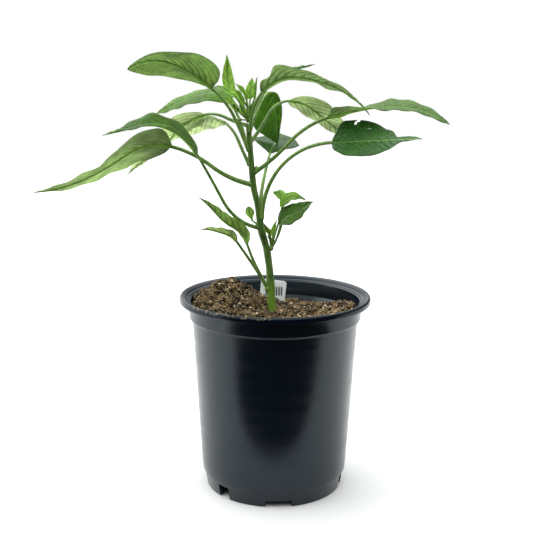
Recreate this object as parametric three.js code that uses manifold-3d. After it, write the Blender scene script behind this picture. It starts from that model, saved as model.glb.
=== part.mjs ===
// A young bell pepper plant in a black nursery pot, in millimetres, +Z up.
// The origin is the middle of the pot's foot, on the surface that it stands on.
// Compass angles are degrees turned from +X (right) towards +Y (back).

import * as THREE from 'three';
import { mergeVertices } from 'three/addons/utils/BufferGeometryUtils.js';
import Module from 'manifold-3d';

// ---------------------------------------------------------------- driving dimensions

const GAP = 0.3; // clearance between pieces that touch on the real plant

const POT_HEIGHT = 170;
const RIM_RADIUS = 82.5;
const MOUTH_RADIUS = 76;
const BAND_RADIUS = 74.4; // plain band under the rim
const BODY_TOP_RADIUS = 71.6;
const BODY_FOOT_RADIUS = 64.2;
const FOOT_RADIUS = 59.7;
const BAND_Z = 151; // lower edge of the band
const FOOT_Z = 13.5; // top of the foot, where the body stands out over it
const BODY_FOOT_Z = 25; // where the body's straight side begins
const WALL = 1.5;
const FLOOR_UNDERSIDE_Z = 5;
const PAD_RADIUS = 17; // flat pad in the middle of the underside
const POT_SIDES = 40;
// Drain slots and low notches, cut up through the foot's wall in turn.
const DRAIN = { width: 12, bottom: -5, top: 11, turn: -134.5, inner: 53, outer: 70 };
const FOOT_NOTCH = { width: 22, bottom: -5, top: 5.5, turn: -86, inner: 50, outer: 70 };
const DRAIN_COUNT = 3;

const SOIL_LEVEL = 154;
const SOIL_RINGS = 11;
const SOIL_SECTORS = 40;
const SOIL_SIDE_Z = 148.4; // top of the soil's straight side, below the step in the wall
const SOIL_SHOULDER = 0.5; // height of the plain side just under the soil's edge
const SOIL_LUMP = 1.4; // height of the crumbs' relief
// Two wave patterns of that relief: their steps along X and Y, and a shift or a share.
const SOIL_SHORT_WAVE = { x: 0.31, y: 0.27, shift: 1.7 };
const SOIL_LONG_WAVE = { x: 0.17, y: -0.23, share: 0.8 };
// Low hills and hollows of the soil's top: their height, middle and spread.
const SOIL_HILLS = [
  { rise: 25, x: -37, y: 16, spread: 19 },
  { rise: 6, x: -62, y: 8, spread: 14 },
  { rise: 5, x: 22, y: 5, spread: 20 },
  { rise: 9, x: 61, y: 3, spread: 12 },
  { rise: -5, x: -2, y: -6, spread: 9 },
  { rise: -6, x: 36, y: 56, spread: 32 },
];

const TAG = {
  width: 23, top: 176, bottom: 126, thickness: 0.8, corner: 3, x: -1, y: 35, lean: 6, drop: 1.2,
};

const STEM_ROOT_Z = 120;
const STEM_SOIL_Z = 157; // where the stem comes out of the soil
const STEM_TOP_Z = 316;
const STEM_SIDES = 8;
const ROOT_HOLE_TOP = 200; // the stem's hole is cut up to here, well above the soil
const ROOT_HOLE_ROOM = 0.6;
// The stem's centre line, as height and sideways place, and its radius there.
const STEM_PATH = [
  [STEM_ROOT_Z, -2.6, 3.0],
  [STEM_SOIL_Z, -2.5, 3.4],
  [176, -3.7, 3.6],
  [195, -5.2, 3.0],
  [206, -6.9, 3.2],
  [212, -8.0, 2.9],
  [224, -12.0, 3.3],
  [237, -14.0, 2.8],
  [248, -15.6, 2.5],
  [261, -18.9, 2.7],
  [274, -20.4, 2.7],
  [296, -22.1, 2.4],
  [STEM_TOP_Z, -23.7, 2.1],
];

const BLADE_THICKNESS = 0.8;
const AXIS_STEPS = 24; // steps of the leaf's centre line, in the stalk and in the blade
const STALK_SIDES = 6;
// How finely a leaf is made: strips across the blade, and every how many steps of the
// centre line the blade and the stalk have a row.
const LARGE = { strips: 6, bladeEvery: 2, stalkEvery: 3, stalkRadius: 1.35 };
const SMALL = { strips: 4, bladeEvery: 4, stalkEvery: 6, stalkRadius: 0.85 };
// A value at the base and one at the tip.
const STALK_SWELLING = [1.3, 0.85]; // share of the stalk's radius
const KEEL = [1.2, 0.2]; // how far the midrib stands out below the blade
const LEAST_HALF_WIDTH = [0.8, 0.4];
const STALK_SINK = 0.2; // how far each step of the stalk's end sinks under the blade
const SEAT = 0.2; // how far a large leaf's foot reaches into the stem's room
const OUTLINE_EASE = [-0.03, -0.015, 0, 0.015, 0.03]; // rounds an outline's corners
const BUD_RADIUS = 1.5;
const BUD_STRETCH = 1.4; // a bud's length by its thickness
const BUD_STALK = 0.6;

// A leaf is a stalk and a blade on one bent centre line.
//   height       where it leaves the stem
//   petiole      length of the stalk;  blade, width: of the blade
//   rise         slope of the line at the stalk's start, middle and end, then at
//                a third, two thirds and the end of the blade
//   turn         compass heading at the stalk's start and end and at the tip
//   roll         turn of the blade about its line, at its base, middle and tip;
//                more than 0 lifts the left edge
//   fold         lift of both halves from flat, at the base, middle and tip
//   curl         how much further each half bends before its edge
//   swell, taper the outline's fullness at the base and at the tip
//   left, right  half widths of a half that has its own outline, by share of length
//   stalk        radius of the stalk, where it isn't the usual one
//   buds         places of flower buds, each on a thin stalk from the leaf's foot
const LARGE_LEAVES = {
  leaf_left_top: {
    height: 294.5, petiole: 61.5, blade: 76, width: 56,
    rise: [67, 61, 37, 31, 4, -36], turn: [215, 205, 197],
    roll: [21, 20, 26], fold: [29, 4, -10], curl: -13, swell: 0.42, taper: 0.62,
  },
  leaf_left_upper: {
    height: 293.5, petiole: 45.5, blade: 86, width: 36,
    rise: [48, 67, 49, -11, -21, -27], turn: [115, 150, 152],
    roll: [-24, -22, -40], fold: [1, 3, 11], curl: -15, swell: 0.78, taper: 1.02,
  },
  leaf_left_folded: {
    height: 228.5, petiole: 89, blade: 88, width: 38,
    rise: [13, 60, 58, 28, -12, -11], turn: [215, 210, 205],
    roll: [-30, -15, 4], fold: [27, 33, 20], curl: -36, swell: 0.69, taper: 1.32,
  },
  leaf_left_long: {
    height: 265.5, petiole: 74.5, blade: 121, width: 58, stalk: 1.8,
    rise: [13, 38, 14, -35, -24, -3], turn: [188, 195, 183],
    roll: [36, 17, 24], fold: [8, 4, 8], curl: -11, swell: 0.45, taper: 1.2,
    left: [[0.08, 28], [0.2, 26], [0.4, 20], [0.6, 19], [0.8, 9.5]],
  },
  leaf_left_back_upper: {
    height: 315, petiole: 37.5, blade: 97, width: 38,
    rise: [14, 24, -12, -45, -33, -40], turn: [175, 156, 157],
    roll: [30, 1, 10], fold: [3, 12, 11], curl: -7, swell: 0.69, taper: 1.24,
  },
  leaf_left_back_lower: {
    height: 282, petiole: 44.5, blade: 90.5, width: 41,
    rise: [60, 61, 24, -15, -24, -29], turn: [150, 135, 137],
    roll: [19, 12, 16], fold: [-2, 3, 6], curl: -20, swell: 0.76, taper: 1.12,
  },
  leaf_right_top: {
    height: 310, petiole: 35, blade: 107, width: 42,
    rise: [85, 70, 48, -5, -22, -48], turn: [-60, -23, -32],
    roll: [-20, -20, -20], fold: [31, 7, 7], curl: -9, swell: 0.7, taper: 1.2,
    right: [[0.05, 9], [0.14, 6], [0.2, 16.5], [0.6, 14.5], [0.8, 9]],
  },
  leaf_back_hanging: {
    height: 309.5, petiole: 50.5, blade: 60.5, width: 38,
    rise: [57, 44, 15, -63, -80, -78], turn: [64, 69, 74],
    roll: [1, 10, 7], fold: [-2, 1, 5], curl: -14,
    left: [[0.08, 10.5], [0.2, 13], [0.6, 26], [0.8, 22]],
    right: [[0.08, 4], [0.4, 7], [0.8, 2.5]],
  },
  leaf_right_back: {
    height: 302, petiole: 51, blade: 81, width: 34,
    rise: [47, 59, 1, -34, -33, -29], turn: [30, 33, 36],
    roll: [-24, -13, -19], fold: [7, 11, 9], curl: -7, swell: 0.72, taper: 1.15,
  },
  leaf_right_long: {
    height: 275.5, petiole: 78, blade: 102, width: 36, stalk: 1.6,
    rise: [34, 48, 18, 10, -8, -36], turn: [-12, -11, -11],
    roll: [-25, 16, 18], fold: [12, 7, 5], curl: -11,
    left: [[0.08, 12.5], [0.2, 16.5], [0.6, 18], [0.8, 11]],
    right: [[0.08, 17.5], [0.2, 18.5], [0.4, 16], [0.6, 9], [0.92, 8]],
    buds: [[-16.7, 0, 279.1]],
  },
  leaf_right_dark: {
    height: 237, petiole: 100.5, blade: 78, width: 48, stalk: 1.6,
    rise: [88, 46, 4, 5, 5, 4], turn: [-35, -22, -41],
    roll: [40, 30, 31], fold: [25, -1, -9], curl: -10,
    left: [[0.06, 20], [0.2, 23.5], [0.4, 24.5], [0.6, 14], [0.7, 3], [0.765, 6], [0.92, 2.5]],
    right: [[0.06, 14.5], [0.2, 20.5], [0.4, 21.5], [0.6, 15.5], [0.7, 11.5], [0.765, 3], [0.92, 1]],
  },
  leaf_back_short: {
    height: 240.5, petiole: 63, blade: 60, width: 45, stalk: 1.5,
    rise: [70, 44, 38, 3, 18, 15], turn: [80, 77, 92],
    roll: [13, 7, 1], fold: [17, 5, 1], curl: -8, swell: 0.97, taper: 1.1,
  },
};

// Young leaves, fused in one node for each shoot. A shoot's leaves all start in a
// knob of that radius, which stands out from the stem's middle by its reach,
// towards its turn.
const SHOOTS = {
  shoot_tip: {
    height: 319, turn: 0, reach: 0, knob: 2.1,
    leaves: [
      {
        petiole: 26, blade: 41.5, width: 11, fold: [9, 7, 10],
        rise: [56, 58, 19, 57, 88, 85], turn: [150, 122, 104],
      },
      {
        petiole: 16, blade: 17.5, width: 10, roll: -36,
        rise: [85, 89, 82, 54, 48, 49], turn: [200, 200, 200],
      },
      {
        petiole: 18, blade: 19, width: 8.5,
        rise: [75, 65, 72, 77, 68, 69], turn: [80, 75, 75],
      },
      {
        petiole: 17.5, blade: 19, width: 6, roll: [-2, -11, -2], fold: 24,
        rise: [74, 74, 73, 84, 87, 82], turn: [20, 8, -2],
      },
      {
        petiole: 11, blade: 18.5, width: 11, roll: [-27, -29, -31],
        rise: [43, 40, 43, 49, 48, 45], turn: [178, 179, 183],
      },
      {
        petiole: 20, blade: 20, width: 6, roll: -30,
        rise: [66, 64, 52, 22, 39, 29], turn: [165, 165, 165],
      },
      {
        petiole: 12.5, blade: 17, width: 13.5, roll: [-40, -46, -44],
        rise: [74, 70, 67, 54, 55, 60], turn: [215, 211, 212],
      },
      {
        petiole: 2.5, blade: 17.5, width: 8,
        rise: [67, 62, 48, 30, 46, 56], turn: [250, 241, 243],
      },
      {
        petiole: 40.5, blade: 44, width: 9, roll: -20,
        rise: [48, 62, 39, 21, 9, 21], turn: [28, 31, 31],
      },
    ],
    buds: [[-36, 0, 331.5], [-33, 2, 328.5], [-25, -3, 332.5], [-21.5, 1, 330.5], [-31, -2, 319.5]],
  },
  side_shoot_right: {
    height: 210.5, turn: -10, reach: 3.8, knob: 2.4,
    leaves: [
      {
        petiole: 22.5, blade: 39, width: 21, roll: [58, 50, 56], fold: [10, 5, 3],
        rise: [45, 73, 78, 17, 38, 33], turn: [-30, -26, -28],
      },
      {
        petiole: 36, blade: 26.5, width: 16, roll: 19,
        rise: [75, 73, 81, 36, -10, -27], turn: [-10, 8, 9],
      },
      {
        petiole: 43, blade: 16.5, width: 9, roll: -30,
        rise: [57, 68, 79, 35, -1, 26], turn: [-10, 114, 148],
      },
      {
        petiole: 10.5, blade: 14, width: 5, fold: 30,
        rise: [76, 74, 74, 67, 63, 70], turn: [60, 57, 58],
      },
      {
        petiole: 10.5, blade: 17, width: 6, fold: 20,
        rise: [97, 89, 53, 43, 48, 62], turn: [-80, -114, -119],
      },
    ],
    buds: [[-5.5, -2, 221]],
  },
  side_shoot_left: {
    height: 231, turn: 165, reach: 3, knob: 1.4,
    leaves: [
      {
        petiole: 4.5, blade: 13.5, width: 11, roll: [1, 9, 1], fold: [10, 4, 10], swell: 1.18, taper: 0.48,
        rise: [41, 35, 50, 65, 82, 87], turn: [165, 191, 241],
      },
    ],
  },
  side_shoot_base: {
    height: 175.5, turn: 207, reach: 3.2, knob: 2.6,
    leaves: [
      {
        petiole: 45.5, blade: 60.5, width: 20, roll: [26, 15, 8], fold: [23, 25, 26], stalk: 1.3,
        rise: [58, 62, 71, 29, 50, 38], turn: [215, 207, 201],
      },
      {
        petiole: 51, blade: 33, width: 17.5, roll: [30, 20, 22], fold: 13, stalk: 1.3,
        rise: [60, 56, 55, 18, 16, -4], turn: [200, 194, 189],
      },
    ],
  },
};

// ---------------------------------------------------------------- booleans

const wasm = await Module();
wasm.setup();

function toSolid(geometry) {
  const bare = geometry.clone();
  bare.deleteAttribute('normal');
  bare.deleteAttribute('uv');
  const merged = mergeVertices(bare, 1e-4);
  const vertProperties = new Float32Array(merged.attributes.position.array);
  const triVerts = new Uint32Array(merged.index.array);
  return new wasm.Manifold(new wasm.Mesh({ numProp: 3, vertProperties, triVerts }));
}

function toGeometry(solid) {
  const mesh = solid.getMesh();
  const geometry = new THREE.BufferGeometry();
  geometry.setAttribute('position', new THREE.BufferAttribute(mesh.vertProperties, 3));
  geometry.setIndex(new THREE.BufferAttribute(mesh.triVerts, 1));
  geometry.computeVertexNormals();
  return geometry;
}

function fuse(solids) {
  return solids.reduce((whole, solid) => whole.add(solid));
}

// ---------------------------------------------------------------- small helpers

const radians = THREE.MathUtils.degToRad;

function between(knots, values, at) {
  let i = 1;
  while (i < knots.length - 1 && at > knots[i]) i += 1;
  const share = THREE.MathUtils.clamp((at - knots[i - 1]) / (knots[i] - knots[i - 1]), 0, 1);
  return THREE.MathUtils.lerp(values[i - 1], values[i], share);
}

const stemHeights = STEM_PATH.map((station) => station[0]);

function stemAt(z) {
  const x = between(stemHeights, STEM_PATH.map((station) => station[1]), z);
  return new THREE.Vector3(x, 0, z);
}

function stemRadius(z) {
  return between(stemHeights, STEM_PATH.map((station) => station[2]), z);
}

function atBaseAndTip([base, tip], share) {
  return THREE.MathUtils.lerp(base, tip, share);
}

function headingVector(rise, turn) {
  const [e, a] = [radians(rise), radians(turn)];
  return new THREE.Vector3(Math.cos(e) * Math.cos(a), Math.cos(e) * Math.sin(a), Math.sin(e));
}

// A closed mesh from rows of points that all have the same length. Each row is a
// ring, and the first and last rings are closed by a fan round their middle point.
function loftRings(rings) {
  const sides = rings[0].length;
  const points = rings.flat();
  const faces = [];
  for (let i = 0; i < rings.length - 1; i += 1) {
    for (let j = 0; j < sides; j += 1) {
      const [a, b] = [i * sides + j, i * sides + ((j + 1) % sides)];
      faces.push(a, b, b + sides, a, b + sides, a + sides);
    }
  }
  const middle = (ring) => {
    const sum = ring.reduce((total, point) => total.add(point), new THREE.Vector3());
    return sum.divideScalar(sides);
  };
  const [first, last] = [points.length, points.length + 1];
  points.push(middle(rings[0]), middle(rings[rings.length - 1]));
  const lastRing = (rings.length - 1) * sides;
  for (let j = 0; j < sides; j += 1) {
    const next = (j + 1) % sides;
    faces.push(first, next, j);
    faces.push(last, lastRing + j, lastRing + next);
  }
  return new THREE.BufferGeometry().setFromPoints(points).setIndex(faces);
}

// A round rod along points, with a radius at each. Its facets start from a fixed
// direction that no stalk runs along.
const ROD_REFERENCE = new THREE.Vector3(0.13, 0.99, 0.05);

function rod(points, radii, sides) {
  const rings = points.map((point, i) => {
    const ahead = points[Math.min(i + 1, points.length - 1)];
    const behind = points[Math.max(i - 1, 0)];
    const tangent = ahead.clone().sub(behind).normalize();
    const side = ROD_REFERENCE.clone().cross(tangent).normalize();
    const up = tangent.clone().cross(side);
    return Array.from({ length: sides }, (_, k) => {
      const angle = (2 * Math.PI * k) / sides;
      return point.clone()
        .addScaledVector(side, radii[i] * Math.cos(angle))
        .addScaledVector(up, radii[i] * Math.sin(angle));
    });
  });
  return loftRings(rings);
}

// ---------------------------------------------------------------- pot

function potOutline() {
  const inside = WALL;
  const outline = [
    [0, 0], [PAD_RADIUS - 1, 0], [PAD_RADIUS, FLOOR_UNDERSIDE_Z],
    [FOOT_RADIUS - 3.4, FLOOR_UNDERSIDE_Z], [FOOT_RADIUS - 2.8, 0], [FOOT_RADIUS, 0],
    [FOOT_RADIUS + 2, FOOT_Z - 0.5], [BODY_FOOT_RADIUS - 0.9, FOOT_Z + 0.7],
    [BODY_FOOT_RADIUS, BODY_FOOT_Z],
    [BODY_TOP_RADIUS, BAND_Z - 3], [BAND_RADIUS - 0.4, BAND_Z], [BAND_RADIUS, BAND_Z + 1],
    [BAND_RADIUS, POT_HEIGHT - 5.5], [RIM_RADIUS - 1.6, POT_HEIGHT - 3.4],
    [RIM_RADIUS - 1.4, POT_HEIGHT - 5.4], [RIM_RADIUS - 0.2, POT_HEIGHT - 5.4],
    [RIM_RADIUS, POT_HEIGHT - 1.6], [RIM_RADIUS - 0.8, POT_HEIGHT - 0.2],
    [RIM_RADIUS - 1.8, POT_HEIGHT], [MOUTH_RADIUS + 0.8, POT_HEIGHT - 1.9],
    [MOUTH_RADIUS, POT_HEIGHT - 2.8], [BAND_RADIUS - inside, POT_HEIGHT - 4.2],
    [BAND_RADIUS - inside, BAND_Z + 2],
    [BODY_TOP_RADIUS - inside, BAND_Z - 2], [BODY_FOOT_RADIUS - inside, BODY_FOOT_Z],
    [FOOT_RADIUS - 1, FOOT_Z], [FOOT_RADIUS - 3, FLOOR_UNDERSIDE_Z + inside],
    [0, FLOOR_UNDERSIDE_Z + inside],
  ];
  return outline.map(([radius, z]) => new THREE.Vector2(radius, z));
}

// A box that cuts through the wall at one place round the foot.
function radialBox({ width, bottom, top, turn, inner, outer }, step) {
  const box = new THREE.BoxGeometry(outer - inner, width, top - bottom);
  box.translate((inner + outer) / 2, 0, (bottom + top) / 2);
  return toSolid(box.rotateZ(radians(turn + step)));
}

function makePot() {
  const shell = new THREE.LatheGeometry(potOutline(), POT_SIDES).rotateX(Math.PI / 2);
  let pot = toSolid(shell);
  for (let i = 0; i < DRAIN_COUNT; i += 1) {
    const step = (360 / DRAIN_COUNT) * i;
    pot = pot.subtract(radialBox(DRAIN, step)).subtract(radialBox(FOOT_NOTCH, step));
  }
  return toGeometry(pot);
}

// ---------------------------------------------------------------- soil and tag

function soilHeight(x, y) {
  let height = SOIL_LEVEL;
  for (const hill of SOIL_HILLS) {
    const distance = Math.hypot(x - hill.x, y - hill.y);
    height += hill.rise * Math.exp(-0.5 * (distance / hill.spread) ** 2);
  }
  const short = Math.sin(SOIL_SHORT_WAVE.x * x + SOIL_SHORT_WAVE.shift)
    * Math.cos(SOIL_SHORT_WAVE.y * y);
  const long = SOIL_LONG_WAVE.share * Math.sin(SOIL_LONG_WAVE.x * x + SOIL_LONG_WAVE.y * y);
  return height + SOIL_LUMP * (short + long);
}

// The radius inside the pot's wall that the soil may fill.
function wallRadius(z) {
  const heights = [FLOOR_UNDERSIDE_Z + WALL, FOOT_Z, BODY_FOOT_Z, BAND_Z - 1.4, BAND_Z + 2];
  const inner = [
    FOOT_RADIUS - 3, FOOT_RADIUS - 1, BODY_FOOT_RADIUS - WALL, BODY_TOP_RADIUS - WALL,
    BAND_RADIUS - WALL,
  ];
  return between(heights, inner, z) - 3 * GAP;
}

function makeSoil() {
  const ring = (radiusAt, heightOf) => Array.from({ length: SOIL_SECTORS }, (_, j) => {
    const angle = (2 * Math.PI * j) / SOIL_SECTORS;
    const radius = radiusAt(angle);
    const [x, y] = [radius * Math.cos(angle), radius * Math.sin(angle)];
    return new THREE.Vector3(x, y, heightOf(x, y));
  });
  const floorZ = FLOOR_UNDERSIDE_Z + WALL + GAP;
  const rings = [floorZ, FOOT_Z, BODY_FOOT_Z].map((z) => ring(() => wallRadius(z), () => z));
  // Where the soil ends against the wall, which is wider above the band's lower edge.
  const nominal = wallRadius(BAND_Z);
  const edgeHeight = (angle) => soilHeight(nominal * Math.cos(angle), nominal * Math.sin(angle));
  const edgeRadius = (angle) => wallRadius(edgeHeight(angle));
  const atEdge = (drop) => (x, y) => edgeHeight(Math.atan2(y, x)) - drop;
  const sideHeight = (angle) => Math.min(SOIL_SIDE_Z, edgeHeight(angle) - 2 * SOIL_SHOULDER);
  rings.push(ring(
    (angle) => wallRadius(sideHeight(angle)),
    (x, y) => sideHeight(Math.atan2(y, x)),
  ));
  rings.push(ring((angle) => wallRadius(edgeHeight(angle) - SOIL_SHOULDER), atEdge(SOIL_SHOULDER)));
  rings.push(ring(edgeRadius, atEdge(0)));
  for (let i = 1; i < SOIL_RINGS; i += 1) {
    const share = 1 - i / SOIL_RINGS;
    rings.push(ring((angle) => edgeRadius(angle) * share, soilHeight));
  }
  const holeHeights = [STEM_ROOT_Z - GAP, STEM_SOIL_Z, ROOT_HOLE_TOP];
  const holeRadii = holeHeights.map((z) => stemRadius(z) + ROOT_HOLE_ROOM);
  const rootHole = toSolid(rod(holeHeights.map(stemAt), holeRadii, STEM_SIDES * 2));
  const tagSlot = toSolid(tagPlate(GAP));
  return toGeometry(toSolid(loftRings(rings)).subtract(rootHole).subtract(tagSlot));
}

// The tag's plate with a pointed foot, made larger all round by a clearance.
function tagPlate(clearance) {
  const half = TAG.width / 2 + clearance;
  const [top, bottom] = [TAG.top + clearance, TAG.bottom - clearance];
  const outline = new THREE.Shape();
  outline.moveTo(0, bottom);
  outline.lineTo(half, bottom + TAG.width / 2);
  outline.lineTo(half, top - TAG.corner);
  outline.absarc(half - TAG.corner, top - TAG.corner, TAG.corner, 0, Math.PI / 2);
  outline.lineTo(TAG.corner - half, top);
  outline.absarc(TAG.corner - half, top - TAG.corner, TAG.corner, Math.PI / 2, Math.PI);
  outline.lineTo(-half, bottom + TAG.width / 2);
  const depth = TAG.thickness + 2 * clearance;
  const plate = new THREE.ExtrudeGeometry(outline, { depth, bevelEnabled: false, curveSegments: 4 });
  plate.translate(0, -TAG.top, -depth / 2);
  plate.rotateX(Math.PI / 2);
  plate.rotateY(radians(TAG.lean));
  return plate.translate(TAG.x, TAG.y, TAG.top - TAG.drop);
}

// ---------------------------------------------------------------- stem

function stemRod(clearance, z0, z1) {
  const stations = [z0, ...stemHeights.filter((z) => z > z0 && z < z1), z1];
  return rod(stations.map(stemAt), stations.map((z) => stemRadius(z) + clearance), STEM_SIDES);
}

// What keeps stalks clear of the stem, with a little more for its flat sides.
const stemRoom = toSolid(stemRod(GAP, STEM_ROOT_Z, STEM_TOP_Z + GAP));

// ---------------------------------------------------------------- leaves

// A leaf's angle at the blade's base, middle and tip, from three values or one.
function bladeAngle(value, u) {
  return radians(Array.isArray(value) ? between([0, 0.5, 1], value, u) : value);
}

// The centre line of a leaf, as points along the stalk and stations along the blade.
function leafLine(leaf, start) {
  const { petiole, blade } = leaf;
  const whole = petiole + blade;
  const thirds = [petiole + blade / 3, petiole + (2 * blade) / 3, whole];
  const riseKnots = [0, petiole / 2, petiole, ...thirds];
  const headingAt = (s) => headingVector(
    between(riseKnots, leaf.rise, s),
    between([0, petiole, whole], leaf.turn, s),
  );
  const walk = (first, from, to) => {
    const step = (to - from) / AXIS_STEPS;
    const points = [first.clone()];
    for (let i = 0; i < AXIS_STEPS; i += 1) {
      points.push(points[i].clone().addScaledVector(headingAt(from + (i + 0.5) * step), step));
    }
    return points;
  };
  const stalk = walk(start, 0, petiole);
  const stations = walk(stalk[AXIS_STEPS], petiole, whole).map((point, i) => {
    const u = i / AXIS_STEPS;
    return { u, point, tangent: headingAt(petiole + u * blade) };
  });
  return { stalk, stations };
}

// An outline that starts and ends in a point and is 1 wide at its widest.
function lobe(u, { swell, taper }) {
  if (u <= 0 || u >= 1) return 0;
  const widest = swell / (swell + taper);
  return (u ** swell * (1 - u) ** taper) / (widest ** swell * (1 - widest) ** taper);
}

// Width of the left half (hand 1) or the right one (hand -1).
function halfWidth(leaf, u, hand) {
  const least = atBaseAndTip(LEAST_HALF_WIDTH, u);
  const outline = hand > 0 ? leaf.left : leaf.right;
  if (!outline) {
    const { swell = 0.75, taper = 1.15 } = leaf;
    return Math.max((leaf.width / 2) * lobe(u, { swell, taper }), least);
  }
  const knots = [0, ...outline.map((point) => point[0]), 1];
  const widths = [0, ...outline.map((point) => point[1]), 0];
  const sum = OUTLINE_EASE.reduce((total, step) => total + between(knots, widths, u + step), 0);
  return Math.max(sum / OUTLINE_EASE.length, least);
}

// One row of points across the blade, on its upper and lower faces.
function bladeRow(leaf, station, strips) {
  const { u, point, tangent } = station;
  const roll = bladeAngle(leaf.roll ?? 0, u);
  const fold = bladeAngle(leaf.fold ?? 10, u);
  const curl = radians(leaf.curl ?? 0) + 1e-6; // never 0, because widths are divided by it
  const across = headingVector(0, (leaf.turn[1] + leaf.turn[2]) / 2 + 90);
  const side = across.addScaledVector(tangent, -across.dot(tangent)).normalize();
  const up = tangent.clone().cross(side);
  side.applyAxisAngle(tangent, roll);
  up.applyAxisAngle(tangent, roll);
  const keel = atBaseAndTip(KEEL, u);
  const row = { upper: [], lower: [] };
  for (let j = 0; j <= strips; j += 1) {
    const v = -1 + (2 * j) / strips;
    const hand = v < 0 ? -1 : 1;
    const width = halfWidth(leaf, u, hand);
    const bend = fold + curl * Math.abs(v);
    const out = (width / curl) * (Math.sin(bend) - Math.sin(fold));
    const lift = (-width / curl) * (Math.cos(bend) - Math.cos(fold));
    const middle = point.clone().addScaledVector(side, hand * out).addScaledVector(up, lift);
    const normal = up.clone().multiplyScalar(Math.cos(bend));
    if (v !== 0) normal.addScaledVector(side, -hand * Math.sin(bend));
    const half = BLADE_THICKNESS / 2;
    row.upper.push(middle.clone().addScaledVector(normal, half));
    row.lower.push(middle.clone().addScaledVector(normal, v === 0 ? -half - keel : -half));
  }
  return row;
}

// Each ring runs over the upper face from right to left and back along the lower one.
function makeBlade(leaf, stations, strips) {
  const rings = stations.map((station) => {
    const { upper, lower } = bladeRow(leaf, station, strips);
    return [...upper, ...lower.reverse()];
  });
  const count = rings[0].length;
  const points = rings.flat();
  const faces = [];
  const quad = (a, b, c, d) => faces.push(a, b, c, a, c, d);
  for (let i = 0; i < rings.length - 1; i += 1) {
    for (let j = 0; j < strips; j += 1) {
      const [a, b] = [i * count + j, i * count + j + 1];
      quad(a, a + count, b + count, b);
      const [c, d] = [i * count + count - 1 - j, i * count + count - 2 - j];
      faces.push(c, d + count, c + count, c, d, d + count);
    }
    const [leftUp, leftDown] = [i * count + strips, i * count + strips + 1];
    quad(leftUp, leftUp + count, leftDown + count, leftDown);
    const [rightUp, rightDown] = [i * count, i * count + count - 1];
    quad(rightDown, rightDown + count, rightUp + count, rightUp);
  }
  const end = (rings.length - 1) * count;
  for (let j = 0; j < strips; j += 1) {
    const [a, b, c, d] = [j, j + 1, count - 2 - j, count - 1 - j];
    quad(a, b, c, d);
    quad(end + d, end + c, end + b, end + a);
  }
  return new THREE.BufferGeometry().setFromPoints(points).setIndex(faces);
}

// The stalk runs on under the blade for two steps, thinner at each.
function leafSolid(leaf, start, make) {
  const { stalk, stations } = leafLine(leaf, start);
  const radius = leaf.stalk ?? make.stalkRadius;
  const line = stalk.filter((_, i) => i % make.stalkEvery === 0);
  const last = line.length - 1;
  const radii = line.map((_, i) => radius * atBaseAndTip(STALK_SWELLING, i / last));
  for (const step of [1, 2]) {
    const sunk = stations[step].point.clone();
    sunk.z -= STALK_SINK * step;
    line.push(sunk);
    radii.push(radius * (STALK_SWELLING[1] - STALK_SINK * step));
  }
  const rows = stations.filter((_, i) => i % make.bladeEvery === 0);
  const blade = makeBlade(leaf, rows, make.strips);
  return toSolid(rod(line, radii, STALK_SIDES)).add(toSolid(blade));
}

// Closed flower buds, longer than they are thick, each on a stalk of its own.
function budSolids(buds, start) {
  return (buds ?? []).flatMap((place) => {
    const end = new THREE.Vector3(...place);
    const bud = new THREE.SphereGeometry(BUD_RADIUS, 8, 6).scale(1, BUD_STRETCH, 1);
    const along = end.clone().sub(start).normalize();
    const turned = new THREE.Quaternion().setFromUnitVectors(THREE.Object3D.DEFAULT_UP, along);
    bud.applyQuaternion(turned).translate(...place);
    return [toSolid(bud), toSolid(rod([start, end], [BUD_STALK, BUD_STALK], STALK_SIDES))];
  });
}

function makeLargeLeaf(leaf) {
  const reach = stemRadius(leaf.height) - SEAT;
  const start = stemAt(leaf.height).addScaledVector(headingVector(0, leaf.turn[0]), reach);
  const solids = [leafSolid(leaf, start, LARGE), ...budSolids(leaf.buds, start)];
  return toGeometry(fuse(solids).subtract(stemRoom));
}

function makeShoot({ height, turn, reach, knob, leaves, buds }) {
  const start = stemAt(height).addScaledVector(headingVector(0, turn), reach);
  const swelling = new THREE.SphereGeometry(knob, 8, 6).translate(...start.toArray());
  const solids = leaves.map((leaf) => leafSolid(leaf, start, SMALL));
  const all = [toSolid(swelling), ...solids, ...budSolids(buds, start)];
  return toGeometry(fuse(all).subtract(stemRoom));
}

// ---------------------------------------------------------------- materials

function material(color, roughness) {
  return new THREE.MeshStandardMaterial({ color, roughness, metalness: 0 });
}

const materials = {
  pot: () => material('#1b1d20', 0.42),
  soil: () => material('#54402e', 0.95),
  tag: () => material('#f2f2ee', 0.5),
  stem: () => material('#4f7a36', 0.5),
  largeLeaf: () => material('#3f7d34', 0.45),
  youngLeaf: () => material('#6fae3e', 0.45),
};

// ---------------------------------------------------------------- the plant in its pot

const plant = new THREE.Group();

function addPiece(name, geometry, look) {
  const mesh = new THREE.Mesh(geometry, look);
  mesh.name = name;
  plant.add(mesh);
}

addPiece('pot', makePot(), materials.pot());
addPiece('soil', makeSoil(), materials.soil());
addPiece('plant_tag', tagPlate(0), materials.tag());
addPiece('stem', stemRod(0, STEM_ROOT_Z, STEM_TOP_Z), materials.stem());
for (const [name, leaf] of Object.entries(LARGE_LEAVES)) {
  addPiece(name, makeLargeLeaf(leaf), materials.largeLeaf());
}
for (const [name, shoot] of Object.entries(SHOOTS)) {
  addPiece(name, makeShoot(shoot), materials.youngLeaf());
}

export default plant;
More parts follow.
